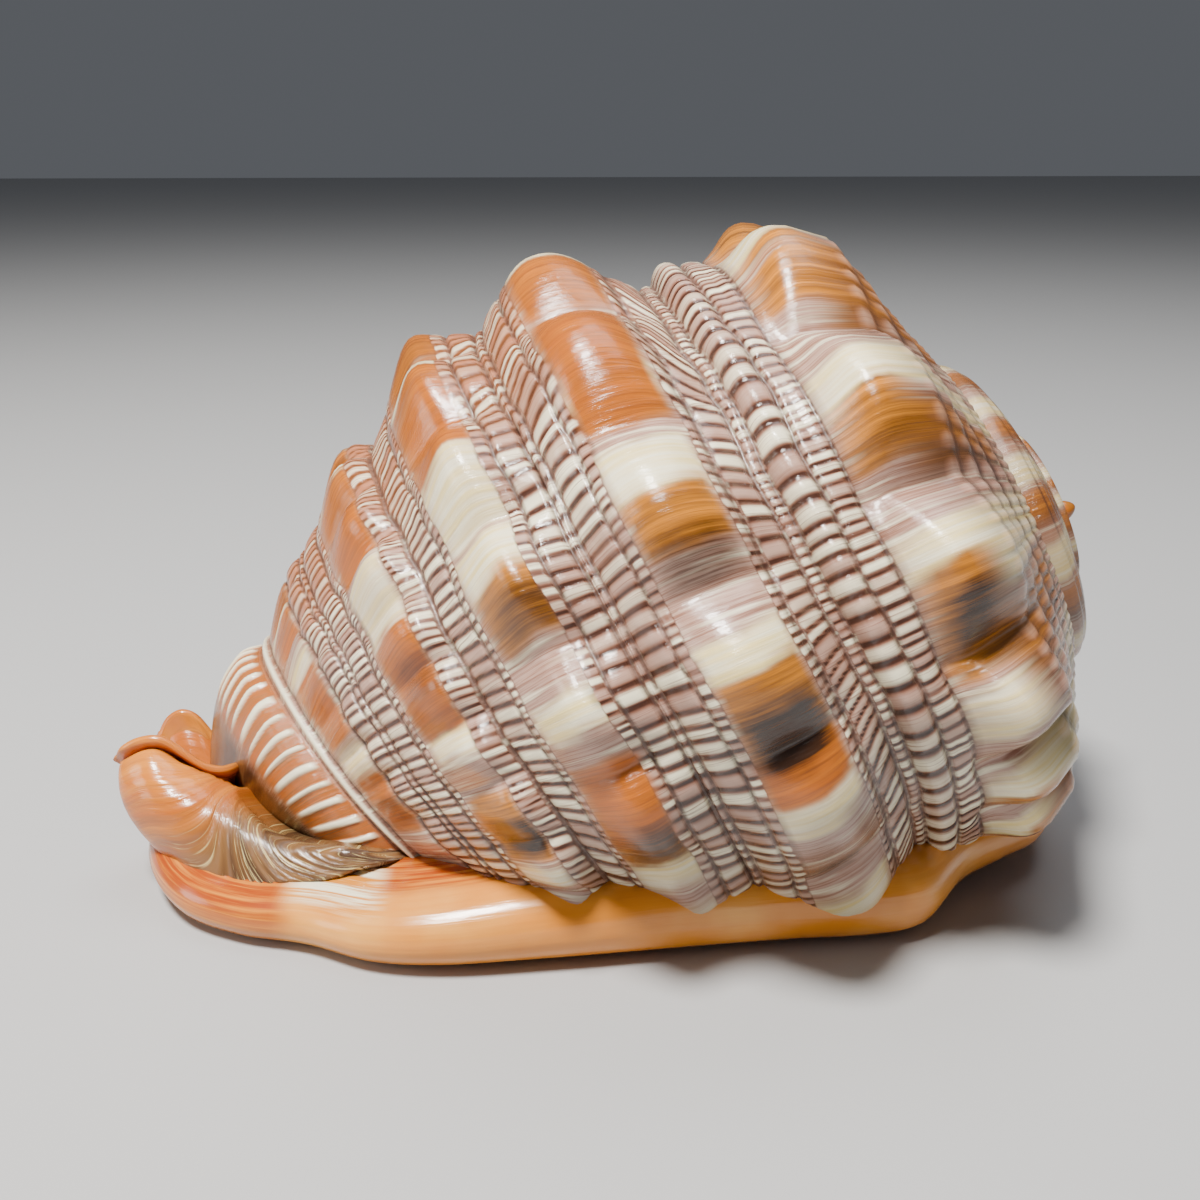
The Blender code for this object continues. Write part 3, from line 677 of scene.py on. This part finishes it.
def whorlPlaces(degs, downs, inward=0.0):
    deg, down = np.meshgrid(degs, downs, indexing="ij")
    size = coilSize(deg)
    tall = size ** coil["heightPower"]
    bump = knobLift(deg, down)
    fine, crest, zone, groove, tone = fineRelief(deg, down)
    line, stripe, collar, recess, lineLift = collarPaint(deg, down)
    lip = whorl["lipSwell"] * smooth(deg, *whorl["lipSwellDeg"])
    forward = knobShape["lean"] * bump * (1.0 - smooth(down, 30.0, 40.0))
    rowH = shoulderHeight(deg) + tall * (down - shoulder - forward)
    rowR = (np.interp(down, rowTable[:, 0], rowTable[:, 1]) + bump + lip + fine + lineLift) * size
    onRamp = np.clip((down - rampTop) / (shoulder - rampTop), 0.0, 1.0)
    fade = smooth(onRamp, 0.25, 1.0)
    rampH, rampR = rampLine(deg, onRamp)
    rampLift, rampCrest, rampGroove, rampTone = rampRelief(deg, onRamp)
    rampLift = rampLift * (1.0 - smooth(onRamp, 0.90, 1.0)) * size ** 0.6
    rampH = rampH - tall * forward * fade - 0.7 * rampLift
    rampR = rampR + (bump + lip) * size * fade + 0.5 * rampLift
    height = np.where(down < shoulder, rampH, rowH)
    radius = np.where(down < shoulder, rampR, rowR) - inward
    places = coilPlace(deg, height, radius)
    cream, gold, brown, warm = knobPaint(deg, down)
    warm = np.maximum(warm * 0.95, smooth(deg, 146.0, 172.0) * 0.6) * smooth(down, 40.0, 54.0)
    onlyRamp = 1.0 - smooth(down, 25.0, 26.6)
    rampGold, rampCream, rampBrown = rampFlames(deg, np.clip(onRamp, 0.0, 0.8))
    gold = gold * (1.0 - onlyRamp) + rampGold * onlyRamp
    cream = cream * (1.0 - onlyRamp) + rampCream * onlyRamp
    brown = brown * (1.0 - onlyRamp) + rampBrown * onlyRamp
    crest = np.maximum(crest, rampCrest * onlyRamp)
    zone = np.maximum(zone, 0.5 * onlyRamp)
    groove = np.maximum(groove, rampGroove * onlyRamp)
    # painted shade: darker on the lower near side, below about 104 degrees round and from the upper cords
    # down
    paintedShade = 0.5 * smooth(104.0 - deg, 0.0, 22.0) * smooth(down, 34.0, 60.0) * smooth(deg, 60.0, 70.0)
    paints = {"knobPaint": np.stack([cream, gold, brown], -1),
              "cordPaint": np.stack([crest, groove, zone], -1),
              "linePaint": np.stack([np.maximum(line, stripe), collar, recess], -1),
              "toneAndPaintedShade": np.stack([warm, tone, paintedShade], -1)}
    return places, paints, np.stack([deg, down], -1)


def joinRows(parts):
    places = np.concatenate([p[0] for p in parts], 1)
    coords = np.concatenate([p[2] for p in parts], 1)
    paints = {key: np.concatenate([p[1][key] for p in parts], 1) for key in parts[0][1]}
    return places, paints, coords


def buildWhorl():
    degs = columnAngles()
    split = whorl["split"]
    # where the two halves meet, each has a row that goes in a little
    edge = whorlPlaces(degs, np.array([split]), whorl["tuckIn"])
    upper = joinRows([whorlPlaces(degs, rowDowns(rampTop, split)), edge])
    bm = gridPiece("upperWhorl", *upper, cutBelow=coil["cutHeight"])
    finishPiece("upperWhorl", bm, knobbedGlaze, fromAxis)
    lower = joinRows([edge, whorlPlaces(degs, rowDowns(split, whorlRows[-1][0]))])
    bm = gridPiece("lowerWhorl", *lower, cutBelow=coil["cutHeight"])
    finishPiece("lowerWhorl", bm, knobbedGlaze, fromAxis)


buildWhorl()
print("the last whorl is made")


def spirePlaces(degs, shares):
    # shares run from the suture, 0, to the shoulder, 1, and a little over it
    deg, share = np.meshgrid(degs, shares, indexing="ij")
    size = coilSize(deg)
    onRamp = np.clip(share, 0.0, 1.0)
    height, radius = rampLine(deg, onRamp)
    height = height + np.maximum(0.0, share - 1.0) * 16.0 * size ** coil["heightPower"]
    lift, crest, groove, tone = rampRelief(deg, onRamp)
    height = height - lift * size ** 0.6 * (1.0 - smooth(share, 0.9, 1.05))
    radius = radius + 0.5 * lift * size ** 0.6
    places = coilPlace(deg, height, radius)
    gold, cream, brown = rampFlames(deg, onRamp)
    paints = {"knobPaint": np.stack([cream, gold, brown], -1),
              "cordPaint": np.stack([crest, groove, 0.5 + 0.0 * deg], -1),
              "linePaint": np.stack([0.0 * deg, 0.0 * deg, 0.0 * deg], -1),
              "toneAndPaintedShade": np.stack([0.25 + 0.0 * deg, tone, 0.0 * deg], -1)}
    return places, paints, np.stack([deg, rampTop + (shoulder - rampTop) * onRamp * size], -1)


def buildSpire():
    degs = np.arange(spire["firstDeg"], spire["lastDeg"], spire["stepDeg"])
    degs = np.append(degs, coil["lastDeg"] - 360.0)
    shares = np.concatenate([np.linspace(0.0, 1.0, 27), [1.06, 1.16]])
    bm = gridPiece("spireWhorls", *spirePlaces(degs, shares))
    finishPiece("spireWhorls", bm, knobbedGlaze, lambda centre: Vector(axisWay))
    # the small blunt tip
    bm = bmesh.new()
    bmesh.ops.create_uvsphere(bm, u_segments=28, v_segments=18, radius=1.0)
    way = Vector(axisWay)
    turn = Vector((0.0, 0.0, 1.0)).rotation_difference(way).to_matrix()
    for vert in bm.verts:
        co = vert.co.copy()
        wide = spire["tipRadius"] * (1.0 - 0.28 * max(0.0, co.z))
        long = spire["tipHeight"] if co.z > 0.0 else 1.2
        co = Vector((co.x * wide, co.y * wide, co.z * long * 0.62))
        vert.co = (Vector(spire["tipPlace"]) + turn @ co) * mm
    finishPiece("spireTip", bm, makePlainGlaze("tipGlaze", "golden", "orange"))


def makePlainGlaze(name, low, high):
    mat, tree, shader = shaderOf(name)
    cloud = streaks(tree, (260.0, 260.0, 260.0), 4.0, 0.6, 2.0, "")
    tree.links.new(mixColour(tree, span(tree, cloud, 0.35, 0.65), low, high), shader.inputs["Base Color"])
    shader.inputs["Roughness"].default_value = 0.22
    shader.inputs["Coat Weight"].default_value = glaze["coat"]
    addBump(tree, shader, cloud, 0.4, 0.0001)
    return mat


buildSpire()
print("the spire is made")

# the flat shield and the thick lip round the aperture
# x, y of the outermost line, its height, half thickness, roll depth
shieldEdge = [
    (-65.5, -6.0, 4.4, 3.4, 4.0), (-63.0, -18.0, 4.2, 3.4, 4.0), (-57.0, -27.0, 3.8, 3.4, 4.0),
    (-48.5, -32.0, 3.5, 3.5, 4.5), (-39.0, -35.0, 3.8, 3.8, 5.0), (-30.0, -39.6, 4.2, 4.2, 5.5),
    (-20.0, -41.4, 4.8, 4.8, 6.0), (-6.0, -41.0, 5.6, 5.6, 6.0), (9.0, -40.0, 6.3, 6.3, 6.0),
    (25.0, -38.8, 6.4, 6.4, 6.0), (38.0, -38.3, 6.3, 6.3, 6.0), (46.0, -36.0, 6.4, 6.0, 5.5),
    (53.5, -28.0, 7.2, 5.2, 5.0), (61.0, -23.5, 7.6, 4.6, 4.5), (68.0, -18.5, 7.6, 4.0, 4.0),
    (72.5, -7.0, 8.0, 3.6, 4.0)]
lipEdge = [
    (73.5, 8.0, 8.2, 4.0, 4.0), (71.5, 21.0, 8.0, 5.4, 5.0), (65.5, 34.0, 8.0, 7.2, 6.0),
    (55.0, 45.0, 8.0, 8.0, 7.0), (43.0, 53.0, 8.2, 8.2, 8.0), (29.0, 58.5, 8.5, 8.5, 9.0),
    (13.0, 59.5, 8.5, 8.5, 9.0), (-3.0, 56.0, 8.0, 8.0, 8.5), (-18.0, 49.5, 7.5, 7.5, 8.0),
    (-32.0, 42.0, 7.0, 7.0, 7.0), (-45.0, 32.0, 6.4, 6.4, 6.0), (-55.5, 21.0, 5.6, 5.4, 5.0),
    (-62.5, 8.0, 4.8, 4.0, 4.5)]
# x, y of the aperture's middle line, half width
apertureLine = [(-50.0, 0.0, 4.2), (-36.0, 4.5, 4.4), (-18.0, 10.5, 4.6), (4.0, 14.5, 4.6), (26.0, 15.0, 4.2),
                (42.0, 12.0, 3.4), (54.0, 7.0, 2.6)]
rim = {"perSpan": 14, "toothPitch": 4.4, "toothReach": 1.5, "foldPitch": 3.1, "foldReach": 0.8,
       "middleRise": 2.4, "slitTop": 12.0, "growthDepth": 0.16, "ledgeRise": 2.5,
       # the slot that the canal leaves in the shield: back end, near side, far side
       "slot": (-50.0, -4.2, 4.3)}


def buildShield():
    edge = curveTable(shieldEdge + lipEdge, rim["perSpan"], closed=True)
    edge = np.vstack([edge, edge[:1]])
    x, y, zc, half, deep = edge.T
    half = np.minimum(half, zc)
    low = zc - half
    ahead = np.vstack([edge[1:, :2], edge[1:2, :2]]) - np.vstack([edge[-2:-1, :2], edge[:-1, :2]])
    ahead = ahead / np.linalg.norm(ahead, axis=1)[:, None]
    inward = np.stack([-ahead[:, 1], ahead[:, 0]], -1)
    line = np.array(apertureLine)
    alongX = np.clip(0.78 * x, line[0, 0], line[-1, 0])
    middle = np.interp(alongX, line[:, 0], line[:, 1])
    width = np.interp(alongX, line[:, 0], line[:, 2])
    far = y > middle
    slide = np.tanh((y - middle) / 7.0)
    fade = smooth(alongX, -48.0, -38.0) * (1.0 - smooth(alongX, 46.0, 53.0))
    tooth = smooth(np.sin(2.0 * np.pi * alongX / rim["toothPitch"] + 0.5), -0.35, 0.75)
    fold = beadRow(alongX * 3.0 + 140.0, rim["foldPitch"] * 3.0, 71)[0]
    crest = np.where(far, tooth, fold) * fade
    reach = np.where(far, rim["toothReach"], rim["foldReach"])
    slitY = middle + slide * (width + 0.3) - np.sign(y - middle) * reach * crest
    startX = x + inward[:, 0] * deep
    startY = y + inward[:, 1] * deep
    length = np.concatenate([[0.0], np.cumsum(np.linalg.norm(np.diff(edge[:, :2], axis=0), axis=1))])
    rows = []

    def addRow(px, py, pz, across, ridge, under):
        rows.append((np.stack([px, py, pz], -1), np.stack([length, across + 0.0 * px], -1),
                     np.stack([ridge, under + 0.0 * px, across + 0.0 * px], -1)))

    # the wall of the slit, from inside the shell down to its rounded corner
    for z, away in ((rim["slitTop"], 1.6), (9.0, 1.0), (6.5, 0.5), (4.6, 0.1), (3.5, 0.0)):
        addRow(alongX, slitY + np.sign(y - middle) * away * np.abs(slide), z + 0.0 * x, -4.0 - z, crest, 1.0)
    # the underside, teeth and folds near the slit, flat further out
    shares = (0.015, 0.04, 0.075, 0.12, 0.17, 0.23, 0.30, 0.38, 0.48, 0.60, 0.73, 0.87, 1.0)
    for share in shares:
        px = alongX + (startX - alongX) * share
        py = slitY + (startY - slitY) * share
        rise = np.maximum(low, rim["middleRise"]) - low
        z = low + rise * (1.0 - smooth(share, 0.0, 0.28))
        reachOut = np.where(far, 0.26, 0.50)
        ridge = crest * (1.0 - smooth(share / reachOut, 0.45, 1.0))
        between = (1.0 - ridge) * (1.0 - smooth(share / reachOut, 0.3, 1.0))
        z = z + 0.55 * (1.0 - smooth(share, 0.0, 0.05)) + 0.9 * between
        z = np.maximum(z, low)
        addRow(px, py, z, share * 28.0, ridge, 1.0)
    # the rolled edge
    for step in range(1, 15):
        a = math.radians(-90.0 + 180.0 * step / 14.0)
        growth = 0.10 * np.sin(step * 2.6)
        px = x + inward[:, 0] * (deep * (1.0 - math.cos(a)) + growth)
        py = y + inward[:, 1] * (deep * (1.0 - math.cos(a)) + growth)
        addRow(px, py, zc + half * math.sin(a), 28.0 + 14.0 * step / 14.0, 0.0 * x, 0.0)
    # the ledge on top, up to where it goes under the whorl
    spineY = middle + slide * 1.5
    offX = alongX - startX
    offY = spineY - startY
    reach = np.hypot(offX, offY)
    for k in range(1, 19):
        away = k * 0.9
        share = np.minimum(1.0, away / reach)
        ripple = rim["growthDepth"] * math.sin(k * 2.1) * (1.0 - 0.5 * smooth(x, -20.0, 0.0))
        addRow(startX + offX * share, startY + offY * share, zc + half + rim["ledgeRise"] * share + ripple,
               42.0 + away, 0.0 * x, 0.0)
    places = np.stack([r[0] for r in rows], 1)
    coords = np.stack([r[1] for r in rows], 1)
    ridges = np.stack([r[2] for r in rows], 1)
    px, py, pz = places[..., 0], places[..., 1], places[..., 2]
    top = smooth(ridges[..., 2], 33.0, 39.0) * (1.0 - ridges[..., 1])
    near = smooth(-py, 0.0, 8.0)
    leftEnd = 1.0 - smooth(px, -44.0, -39.0)
    second = smooth(px, -31.0, -27.0) * (1.0 - smooth(px, -16.0, 4.0)) * smooth(ridges[..., 2], 42.0, 45.0)
    orange = np.clip(near * (leftEnd * (0.55 + 0.45 * top) + second), 0.0, 1.0)
    white = near * smooth(px, -43.0, -38.5) * (1.0 - smooth(px, -31.0, -26.5))
    white = white * smooth(ridges[..., 2], 38.0, 41.5)
    farSide = smooth(py, 6.0, 20.0)
    paints = {"edgePaint": np.stack([orange, white, farSide], -1),
              "toothPaint": np.stack([ridges[..., 0], ridges[..., 1], top], -1)}
    bm = gridPiece("shieldAndLip", places, paints, coords, closeRows=True)
    back, near, far = (value * mm for value in rim["slot"])
    for side in (near, far):
        front = [face for face in bm.faces if min(v.co.x for v in face.verts) < back]
        parts = front + list({e for f in front for e in f.edges}) + list({v for f in front for v in f.verts})
        bmesh.ops.bisect_plane(bm, geom=parts, dist=1e-7, plane_co=(0.0, side, 0.0), plane_no=(0.0, 1.0, 0.0))
    inSlot = []
    for face in bm.faces:
        centre = face.calc_center_median()
        if centre.x < back and near < centre.y < far:
            inSlot.append(face)
    bmesh.ops.delete(bm, geom=inSlot, context="FACES")
    finishPiece("shieldAndLip", bm, makeShieldGlaze(), shieldOutward)


def shieldOutward(centre):
    # the underside looks down, the rest up or out
    if centre.z < 0.6 * mm:
        return Vector((0.0, 0.0, -1.0))
    return Vector((0.0, 0.0, 1.0)) if centre.z > 9.0 * mm else Vector((0.0, 0.0, 0.0))


def makeShieldGlaze():
    mat, tree, shader = shaderOf("shieldGlaze")
    orange, white, farSide = paintOf(tree, "edgePaint")
    ridge, under, top = paintOf(tree, "toothPaint")
    lines = streaks(tree, (0.035, 0.95), 4.0, 0.65)
    broad = streaks(tree, (0.02, 0.22), 2.0, 0.5, 4.0)
    cloud = streaks(tree, (0.05, 0.07), 3.0, 0.6, 9.0)
    ground = mixColour(tree, span(tree, cloud, 0.35, 0.68), "peach", "palePeach")
    ground = mixColour(tree, sums(tree, "MULTIPLY", span(tree, lines, 0.45, 0.7), 0.45), ground, "peach")
    orangeTone = mixColour(tree, span(tree, lines, 0.42, 0.68), "deepOrange", "peach")
    ground = mixColour(tree, orange, ground, orangeTone)
    whiteTone = mixColour(tree, span(tree, lines, 0.40, 0.56), "honey", "creamWhite")
    ground = mixColour(tree, white, ground, whiteTone)
    blotch = span(tree, streaks(tree, (0.09, 0.03), 3.0, 0.55, 5.0), 0.50, 0.60)
    blotch = sums(tree, "MULTIPLY", blotch, sums(tree, "SUBTRACT", 1.0, under))
    farTone = mixColour(tree, blotch, "palePeach", "golden")
    ground = mixColour(tree, farSide, ground, farTone)
    underTone = mixColour(tree, span(tree, broad, 0.35, 0.65), "palePeach", "peach")
    underTone = mixColour(tree, sums(tree, "MULTIPLY", farSide, 0.6), underTone, "orange")
    ground = mixColour(tree, sums(tree, "MULTIPLY", under, 0.8), ground, underTone)
    ground = mixColour(tree, span(tree, ridge, 0.25, 0.8), ground, "creamWhite")
    tree.links.new(ground, shader.inputs["Base Color"])
    tree.links.new(sums(tree, "MULTIPLY_ADD", cloud, 0.16, 0.12), shader.inputs["Roughness"])
    shader.inputs["Coat Weight"].default_value = glaze["coat"]
    shader.inputs["Coat Roughness"].default_value = glaze["coatRoughness"]
    addBump(tree, shader, lines, 0.6, 0.00016)
    return mat


buildShield()
print("the shield and lip are made")

# the upturned canal: rim of the spout from its near front end round to its far front end
spout = {
    # x, y, height of the rim; x, y, height of the wall's foot inside the canal
    "rim": [(-67.4, -10.6, 18.4, -64.9, -4.3, 1.2), (-66.3, -12.0, 20.3, -64.4, -4.3, 1.0),
            (-64.5, -12.4, 21.4, -62.8, -4.3, 1.0), (-62.0, -12.6, 21.9, -60.4, -4.3, 1.0),
            (-59.9, -12.6, 21.2, -58.0, -4.3, 1.0), (-57.1, -12.6, 18.8, -55.0, -4.3, 1.2),
            (-55.0, -12.4, 17.1, -53.0, -4.3, 2.2), (-53.2, -11.6, 16.2, -51.0, -4.1, 4.4),
            (-52.2, -9.8, 15.6, -49.0, -3.4, 7.0), (-52.0, -6.0, 14.0, -47.4, -1.8, 8.6),
            (-53.0, -1.0, 11.5, -46.8, 0.4, 8.6), (-55.5, 4.0, 9.2, -48.0, 2.8, 6.0),
            (-57.5, 7.4, 8.8, -51.0, 4.2, 3.0), (-59.2, 8.6, 11.0, -54.0, 4.4, 1.6),
            (-61.6, 9.0, 14.6, -57.0, 4.4, 1.2), (-64.0, 9.0, 15.7, -60.0, 4.4, 1.1),
            (-66.2, 8.8, 14.6, -62.4, 4.4, 1.0), (-67.4, 8.2, 12.4, -63.8, 4.4, 1.0)],
    "wall": 1.5, "perSpan": 6, "nearLean": 0.20, "farLean": 0.55, "endReach": 0.7}


def buildSpout():
    path = curveTable(spout["rim"], spout["perSpan"])
    rx, ry, rz, fx, fy, fz = path.T
    foot = np.stack([fx, fy, fz], -1)
    top = np.stack([rx, ry, rz], -1)
    along = np.gradient(top, axis=0)
    out = np.stack([along[:, 1], -along[:, 0], 0.0 * rx], -1)
    out = -out / np.linalg.norm(out, axis=1)[:, None]
    rows = []
    for share in np.linspace(0.0, 1.0, 15):
        # the inside wall bellies outward between its foot and the rim
        p = foot + (top - foot) * share
        belly = 2.0 * math.sin(math.pi * min(1.0, share) ** 0.8) * (1.0 - 0.35 * share)
        rows.append(p + out * (belly - 1.0 * smooth(share, 0.7, 1.0)))
    wall = spout["wall"]
    for step in range(1, 8):
        a = math.pi * step / 7.0
        over = np.array([0.0, 0.0, wall * 0.55 * math.sin(a)])
        rows.append(top + out * (wall * 0.5 * (1.0 - math.cos(a)) - 1.0) + over)
    for drop, away in ((1.6, 0.7), (3.5, 1.2), (6.0, 1.6), (9.0, 1.6), (12.0, 1.2), (15.0, 0.6)):
        p = top + out * away
        p[:, 2] = np.maximum(rz - drop, 3.0 + 0.0 * rz)
        lean = np.where(ry > 0.0, spout["farLean"], spout["nearLean"])
        p[:, 0] += lean * (rz - p[:, 2]) * smooth(-rx, 56.0, 63.0)
        rows.append(p)
    places = np.stack(rows, 1)
    # each front end closes in a half-round edge between the inner and the outer face
    middle = 0.5 * (places + places[:, ::-1])
    caps = []
    for end in (0, -1):
        cap = []
        for step in (0.0, 25.0, 50.0, 72.0, 88.0):
            a = math.radians(step)
            moved = middle[end] + (places[end] - middle[end]) * math.cos(a)
            cap.append(moved + np.array([-spout["endReach"] * math.sin(a), 0.0, 0.0]))
        caps.append(cap)
    places = np.concatenate([np.array(caps[0][:0:-1]), places, np.array(caps[1][1:])], 0)
    steps = np.linalg.norm(np.diff(places[:, 14], axis=0), axis=1)
    length = np.concatenate([[0.0], np.cumsum(steps)])
    across = np.concatenate([np.linspace(0.0, 16.0, 15), 16.0 + np.arange(1, 8) * 0.4,
                             19.0 + np.arange(6) * 3.0])
    coords = np.stack(np.broadcast_arrays(length[:, None], across[None, :]), -1)
    inner = 1.0 - smooth(across, 14.0, 17.0)
    edgeLine = smooth(across, 19.2, 20.0) * (1.0 - smooth(across, 20.6, 22.4))
    paint = np.stack(np.broadcast_arrays(inner[None, :] + 0.0 * length[:, None], edgeLine[None, :],
                                         0.0 * length[:, None]), -1)
    bm = gridPiece("canalSpout", places, {"spoutPaint": paint}, coords)
    finishPiece("canalSpout", bm, makeSpoutGlaze("spoutGlaze"))


def makeSpoutGlaze(name):
    mat, tree, shader = shaderOf(name)
    inner, edgeLine, far = paintOf(tree, "spoutPaint")
    lines = streaks(tree, (0.10, 1.1), 4.0, 0.7)
    broad = streaks(tree, (0.05, 0.30), 3.0, 0.6, 6.0)
    cloud = streaks(tree, (0.12, 0.12), 3.0, 0.6, 2.0)
    ground = mixColour(tree, span(tree, broad, 0.32, 0.66), "orange", "peach")
    ground = mixColour(tree, sums(tree, "MULTIPLY", span(tree, lines, 0.42, 0.66), 0.6), ground, "terracotta")
    ground = mixColour(tree, sums(tree, "MULTIPLY", inner, 0.8), ground, "orange")
    # further back the old mouths turn cream and brown
    aged = mixColour(tree, span(tree, broad, 0.38, 0.62), "tan", "umber")
    aged = mixColour(tree, span(tree, lines, 0.54, 0.66, 0.0, 0.85), aged, "cream")
    ground = mixColour(tree, far, ground, aged)
    ground = mixColour(tree, edgeLine, ground, "cream")
    tree.links.new(ground, shader.inputs["Base Color"])
    tree.links.new(sums(tree, "MULTIPLY_ADD", cloud, 0.18, 0.16), shader.inputs["Roughness"])
    shader.inputs["Coat Weight"].default_value = glaze["coat"]
    addBump(tree, shader, lines, 0.7, 0.00025)
    return mat


buildSpout()

# the ridge of old canal mouths that runs back from the spout
# upper edge x, y, z; lower edge x, y, z; how far it bulges
ridgeStations = [
    (-67.4, -10.8, 17.2, -63.2, -15.5, 6.6, 1.2), (-66.3, -12.9, 19.0, -61.0, -18.0, 5.6, 2.6),
    (-62.0, -13.4, 20.8, -58.8, -20.5, 6.0, 3.6), (-57.6, -13.4, 18.0, -55.6, -23.6, 6.2, 4.2),
    (-53.6, -12.8, 15.4, -51.6, -25.8, 6.2, 4.2), (-50.5, -13.8, 14.2, -48.0, -27.2, 6.4, 3.6),
    (-49.0, -16.0, 12.8, -44.8, -28.0, 7.0, 3.0), (-46.0, -19.0, 11.3, -41.7, -28.4, 7.6, 2.5),
    (-42.7, -22.0, 11.0, -38.2, -28.8, 8.2, 2.0), (-39.0, -24.0, 11.0, -34.5, -28.8, 8.8, 1.6),
    (-34.8, -26.0, 11.7, -30.9, -28.4, 9.8, 1.0), (-29.5, -26.4, 10.8, -27.5, -27.0, 9.6, 0.2),
    (-25.0, -24.0, 9.4, -24.5, -24.4, 8.6, 0.0)]
ridge = {"perSpan": 9, "linePitch": 1.9, "lineDepth": 0.34,
         "frontCap": (1.0, 0.6, 0.25, 0.08), "capBack": 2.2,
         "hollow": [(2.0, 9.0, -4.5), (1.2, 6.0, -2.8), (0.6, 3.2, -1.2), (0.2, 1.2, -0.2)]}


def growthAt(along, share):
    # lines of growth keep to the rim near the spout and cross the ridge further back
    turned = smooth(along, 0.15, 0.62)
    return 13.0 * share * (1.0 - turned) + 40.0 * turned * along + 5.0 * turned * np.sin(np.pi * share)


def buildRidge():
    path = curveTable(ridgeStations, ridge["perSpan"])
    upper = path[:, 0:3]
    lower = path[:, 3:6]
    bulge = path[:, 6]
    along = np.gradient(0.5 * (upper + lower), axis=0)
    down = lower - upper
    face = np.cross(down, along)
    face = face / np.linalg.norm(face, axis=1)[:, None]
    face = face * np.where(face[:, 1] > 0.0, -1.0, 1.0)[:, None]
    count = len(path)
    rows = []
    # behind the ridge a sheet closes the hollow between it and the whorl
    behind = smooth(np.arange(count) / count, 0.30, 0.45)[:, None]
    for step in ridge["hollow"]:
        rows.append(upper + behind * np.array(step) - (1.0 - behind) * face * 2.6)
    shares = np.linspace(0.0, 1.0, 30)
    for share in shares:
        arc = math.sin(math.pi * min(1.0, 0.06 + 0.94 * share ** 0.85))
        k = np.arange(count) / count
        lineAt = growthAt(k, share)
        phase = lineAt / ridge["linePitch"] + 0.3 * waveNoise(lineAt, 81, 2.3)
        line = 0.5 + 0.5 * np.sin(2.0 * np.pi * phase)
        line = ridge["lineDepth"] * line ** 2 * smooth(k, 0.02, 0.3) * np.clip(bulge / 2.5, 0, 1)
        rows.append(upper + down * share + face * (bulge * arc - line)[:, None])
    rows.append(lower - face * 2.6)
    places = np.stack(rows, 1)
    # the front end turns in against the spout
    inside = -4.9 - 0.36 * (places[0][:, 2] - 1.0)
    cap = []
    for share in ridge["frontCap"]:
        moved = places[0].copy()
        moved[:, 1] += np.maximum(0.0, inside - moved[:, 1]) * share
        moved[:, 0] += ridge["capBack"] * share
        cap.append(moved)
    places = np.concatenate([np.array(cap), places], 0)
    across = np.concatenate([[-0.20, -0.14, -0.08, -0.03], shares, [1.05]])
    k = np.maximum(0.0, (np.arange(len(places)) - len(cap)) / count)[:, None] + 0.0 * across[None, :]
    share = np.clip(across, 0.0, 1.0)[None, :] + 0.0 * k
    coords = np.stack([30.0 * k + 10.0 * share, growthAt(k, share)], -1)
    aged = smooth(k + 0.40 * share, 0.40, 0.66)
    paint = np.stack([0.0 * k, 0.0 * k, aged], -1)
    bm = gridPiece("canalRidge", places, {"spoutPaint": paint}, coords)
    finishPiece("canalRidge", bm, makeSpoutGlaze("ridgeGlaze"), lambda centre: Vector((-0.2, -0.9, 0.3)))


buildRidge()
print("the canal and its ridge are made")

# the lining of the chamber, seen through the aperture
lining = {"stepDeg": 4.0, "stepDown": 3.0, "from": 36.0, "to": 116.0, "wall": 5.5, "cutHeight": 10.5}


def buildLining():
    degs = np.arange(coil["lastDeg"] - 360.0, coil["lastDeg"] + 0.1, lining["stepDeg"])
    downs = np.arange(lining["from"], lining["to"], lining["stepDown"])
    deg, down = np.meshgrid(degs, downs, indexing="ij")
    size = coilSize(deg)
    radius = np.interp(down, rowTable[:, 0], rowTable[:, 1]) * size - lining["wall"]
    height = shoulderHeight(deg) + size ** coil["heightPower"] * (down - shoulder)
    places = coilPlace(deg, height, radius)
    bm = gridPiece("chamberLining", places, {}, np.stack([deg, down], -1), cutBelow=lining["cutHeight"])
    liningGlaze = makePlainGlaze("liningGlaze", "tan", "umber")
    finishPiece("chamberLining", bm, liningGlaze, lambda centre: -fromAxis(centre))


buildLining()
print("the chamber lining is made")
